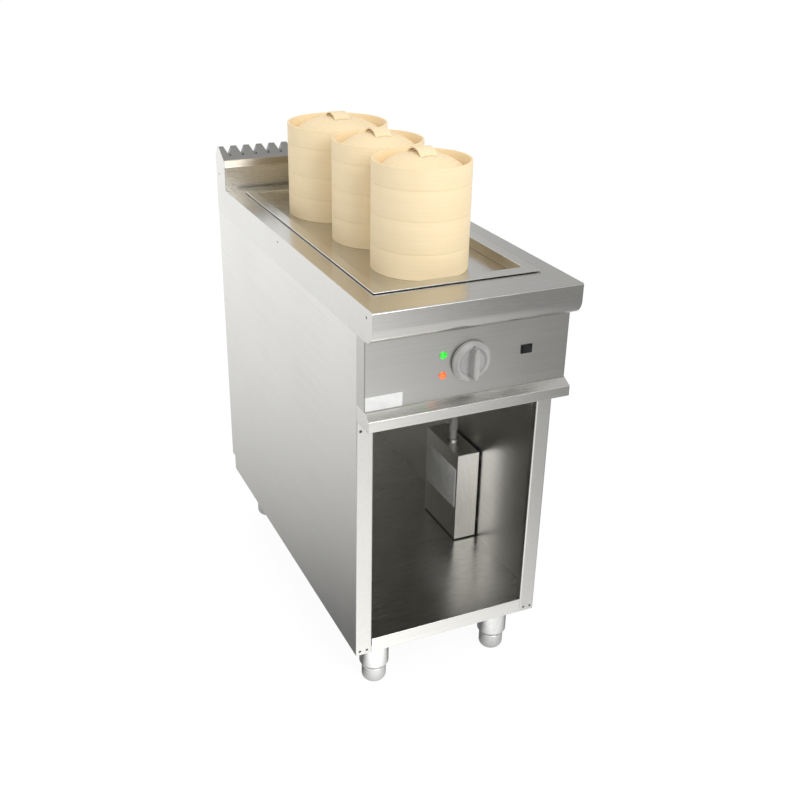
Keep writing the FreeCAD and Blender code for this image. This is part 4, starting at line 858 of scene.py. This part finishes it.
# The same floor in front of the object, with painted light in it: where it begins, how a leaning bright field
# fades to both sides, and how it brightens at the object's foot. A ramp is written as from, to, first and last
# strength.
FRONT_LINE = (-0.30, -0.42)
FRONT_RIGHT = (0.05, 0.95, 1.59, 0.35)
FRONT_LEFT = (-0.95, -0.05, 0.5, 1.59)
SWEEP_LEAN = 0.25
SWEEP_SHIFT = 0.375
FOOT_GLOW = (-0.58, -0.48, 1.0, 1.12)

# Surroundings: their light on the object, and how metal sees them from left to right
WORLD_LIGHT = 0.8
SKY_SWEEP = (0.25, 0.5, 1.25, 0.58)


class Studio(NodeKit):
    """Node calls that the floor and the surroundings share."""

    def __init__(self, tree):
        super().__init__(tree)
        self.path = self.add("ShaderNodeLightPath")

    def camera(self):
        return self.path.outputs["Is Camera Ray"]

    def mirror(self):
        rays = self.path.outputs
        return self.math("MAXIMUM", rays["Is Glossy Ray"], rays["Is Transmission Ray"])


def floor_in_metal(studio):
    """How brightly metal sees each spot of the floor, with a painted shadow beside the object and painted
    light in front of it.
    """
    x, y = studio.axes(studio.place())[:2]
    beside = studio.math("SUBTRACT", studio.math("ABSOLUTE", x), cad_box[1][0])
    depth = studio.math("MULTIPLY_ADD", y, GLOW_DEPTH, GLOW_START)
    way = studio.math("MULTIPLY_ADD", studio.math("MAXIMUM", beside, 0.0), GLOW_ASIDE, depth)
    fade = studio.math("EXPONENT", studio.math("MULTIPLY", studio.math("MAXIMUM", way, GLOW_LEAST), -1.0))
    near = studio.math("MULTIPLY_ADD", fade, -GLOW_WHITE, GLOW_WHITE)
    lean = studio.math("MULTIPLY_ADD", y, SWEEP_LEAN, SWEEP_SHIFT)
    aside = studio.math("ADD", x, lean)
    sweep = studio.math("MINIMUM", studio.ramp(aside, *FRONT_RIGHT), studio.ramp(aside, *FRONT_LEFT))
    before = studio.math("MULTIPLY", sweep, studio.ramp(y, *FOOT_GLOW))
    in_front = studio.ramp(y, *FRONT_LINE, 0.0, 1.0)
    return studio.ramp(in_front, 0.0, 1.0, near, before)


def floor_material():
    material = bpy.data.materials.new("studio_floor")
    material.use_nodes = True
    material.node_tree.nodes.clear()
    studio = Studio(material.node_tree)
    white = studio.add("ShaderNodeEmission")
    strength = studio.ramp(studio.mirror(), 0.0, 1.0, FLOOR_WHITE, floor_in_metal(studio))
    studio.join(strength, white.inputs["Strength"])
    matt = studio.add("ShaderNodeBsdfDiffuse")
    matt.inputs["Color"].default_value = FLOOR_COLOUR
    both = studio.add("ShaderNodeMixShader")
    seen = studio.math("MULTIPLY", studio.camera(), CAMERA_SHARE)
    studio.join(studio.math("MAXIMUM", seen, studio.mirror()), both.inputs["Fac"])
    studio.join(matt.outputs["BSDF"], both.inputs[1])
    studio.join(white.outputs["Emission"], both.inputs[2])
    output = studio.add("ShaderNodeOutputMaterial")
    studio.join(both.outputs["Shader"], output.inputs["Surface"])
    return material


def studio_floor():
    shape = bmesh.new()
    corners = ((-1, -1), (1, -1), (1, 1), (-1, 1))
    shape.faces.new([shape.verts.new((x * FLOOR_HALF, y * FLOOR_HALF, -FLOOR_DROP)) for x, y in corners])
    mesh = bpy.data.meshes.new("studio_floor")
    shape.to_mesh(mesh)
    shape.free()
    mesh.materials.append(floor_material())
    floor = bpy.data.objects.new("studio_floor", mesh)
    scene.collection.objects.link(floor)


def surroundings():
    """Even soft light, seen white by the camera, and in metal a little darker to the right."""
    world = bpy.data.worlds.new("surroundings")
    scene.world = world
    world.use_nodes = True
    studio = Studio(world.node_tree)
    background = world.node_tree.nodes["Background"]
    background.inputs["Color"].default_value = (1.0, 1.0, 1.0, 1.0)
    mirrored = studio.ramp(studio.axes(studio.place("Generated"))["X"], *SKY_SWEEP)
    unseen = studio.ramp(studio.mirror(), 0.0, 1.0, WORLD_LIGHT, mirrored)
    studio.join(studio.ramp(studio.camera(), 0.0, 1.0, unseen, 1.0), background.inputs["Strength"])


def soft_lamp(name, place, aim, size, power):
    data = bpy.data.lights.new(name, "AREA")
    data.shape = "SQUARE"
    data.size = size
    data.energy = power
    lamp = bpy.data.objects.new(name, data)
    lamp.location = place
    lamp.rotation_mode = "QUATERNION"
    lamp.rotation_quaternion = (Vector(aim) - Vector(place)).to_track_quat("-Z", "Y")
    scene.collection.objects.link(lamp)


studio_floor()
surroundings()
soft_lamp("key_lamp", place=(0.35, -3.0, 2.6), aim=(0.0, -0.1, 0.7), size=1.8, power=52.0)
soft_lamp("fill_lamp", place=(-2.8, 1.6, 2.0), aim=(0.0, 0.0, 0.6), size=2.4, power=12.0)

# Camera at the photograph's viewing angle
CAMERA_PLACE = (-0.82097, -1.87654, 1.44207)
CAMERA_AZIMUTH = math.radians(-24.2)
CAMERA_ELEVATION = math.radians(26.08)
CAMERA_ROLL = math.radians(0.8)
CAMERA_SENSOR = 36.0
CAMERA_LENS = 46.86
CAMERA_SHIFT = (0.0217, 0.0123)


def photo_camera():
    data = bpy.data.cameras.new("photo_camera")
    data.sensor_width = CAMERA_SENSOR
    data.lens = CAMERA_LENS
    data.shift_x, data.shift_y = CAMERA_SHIFT
    backward = Vector((
        math.sin(CAMERA_AZIMUTH) * math.cos(CAMERA_ELEVATION),
        -math.cos(CAMERA_AZIMUTH) * math.cos(CAMERA_ELEVATION),
        math.sin(CAMERA_ELEVATION),
    ))
    level = Vector((math.cos(CAMERA_AZIMUTH), math.sin(CAMERA_AZIMUTH), 0.0))
    upward = backward.cross(level)
    right = level * math.cos(CAMERA_ROLL) + upward * math.sin(CAMERA_ROLL)
    upward = upward * math.cos(CAMERA_ROLL) - level * math.sin(CAMERA_ROLL)
    turn = Matrix((right, upward, backward)).transposed().to_4x4()
    camera = bpy.data.objects.new("photo_camera", data)
    camera.matrix_world = Matrix.Translation(CAMERA_PLACE) @ turn
    scene.collection.objects.link(camera)
    scene.camera = camera


photo_camera()
scene.view_settings.view_transform = "Standard"

bpy.context.view_layer.update()
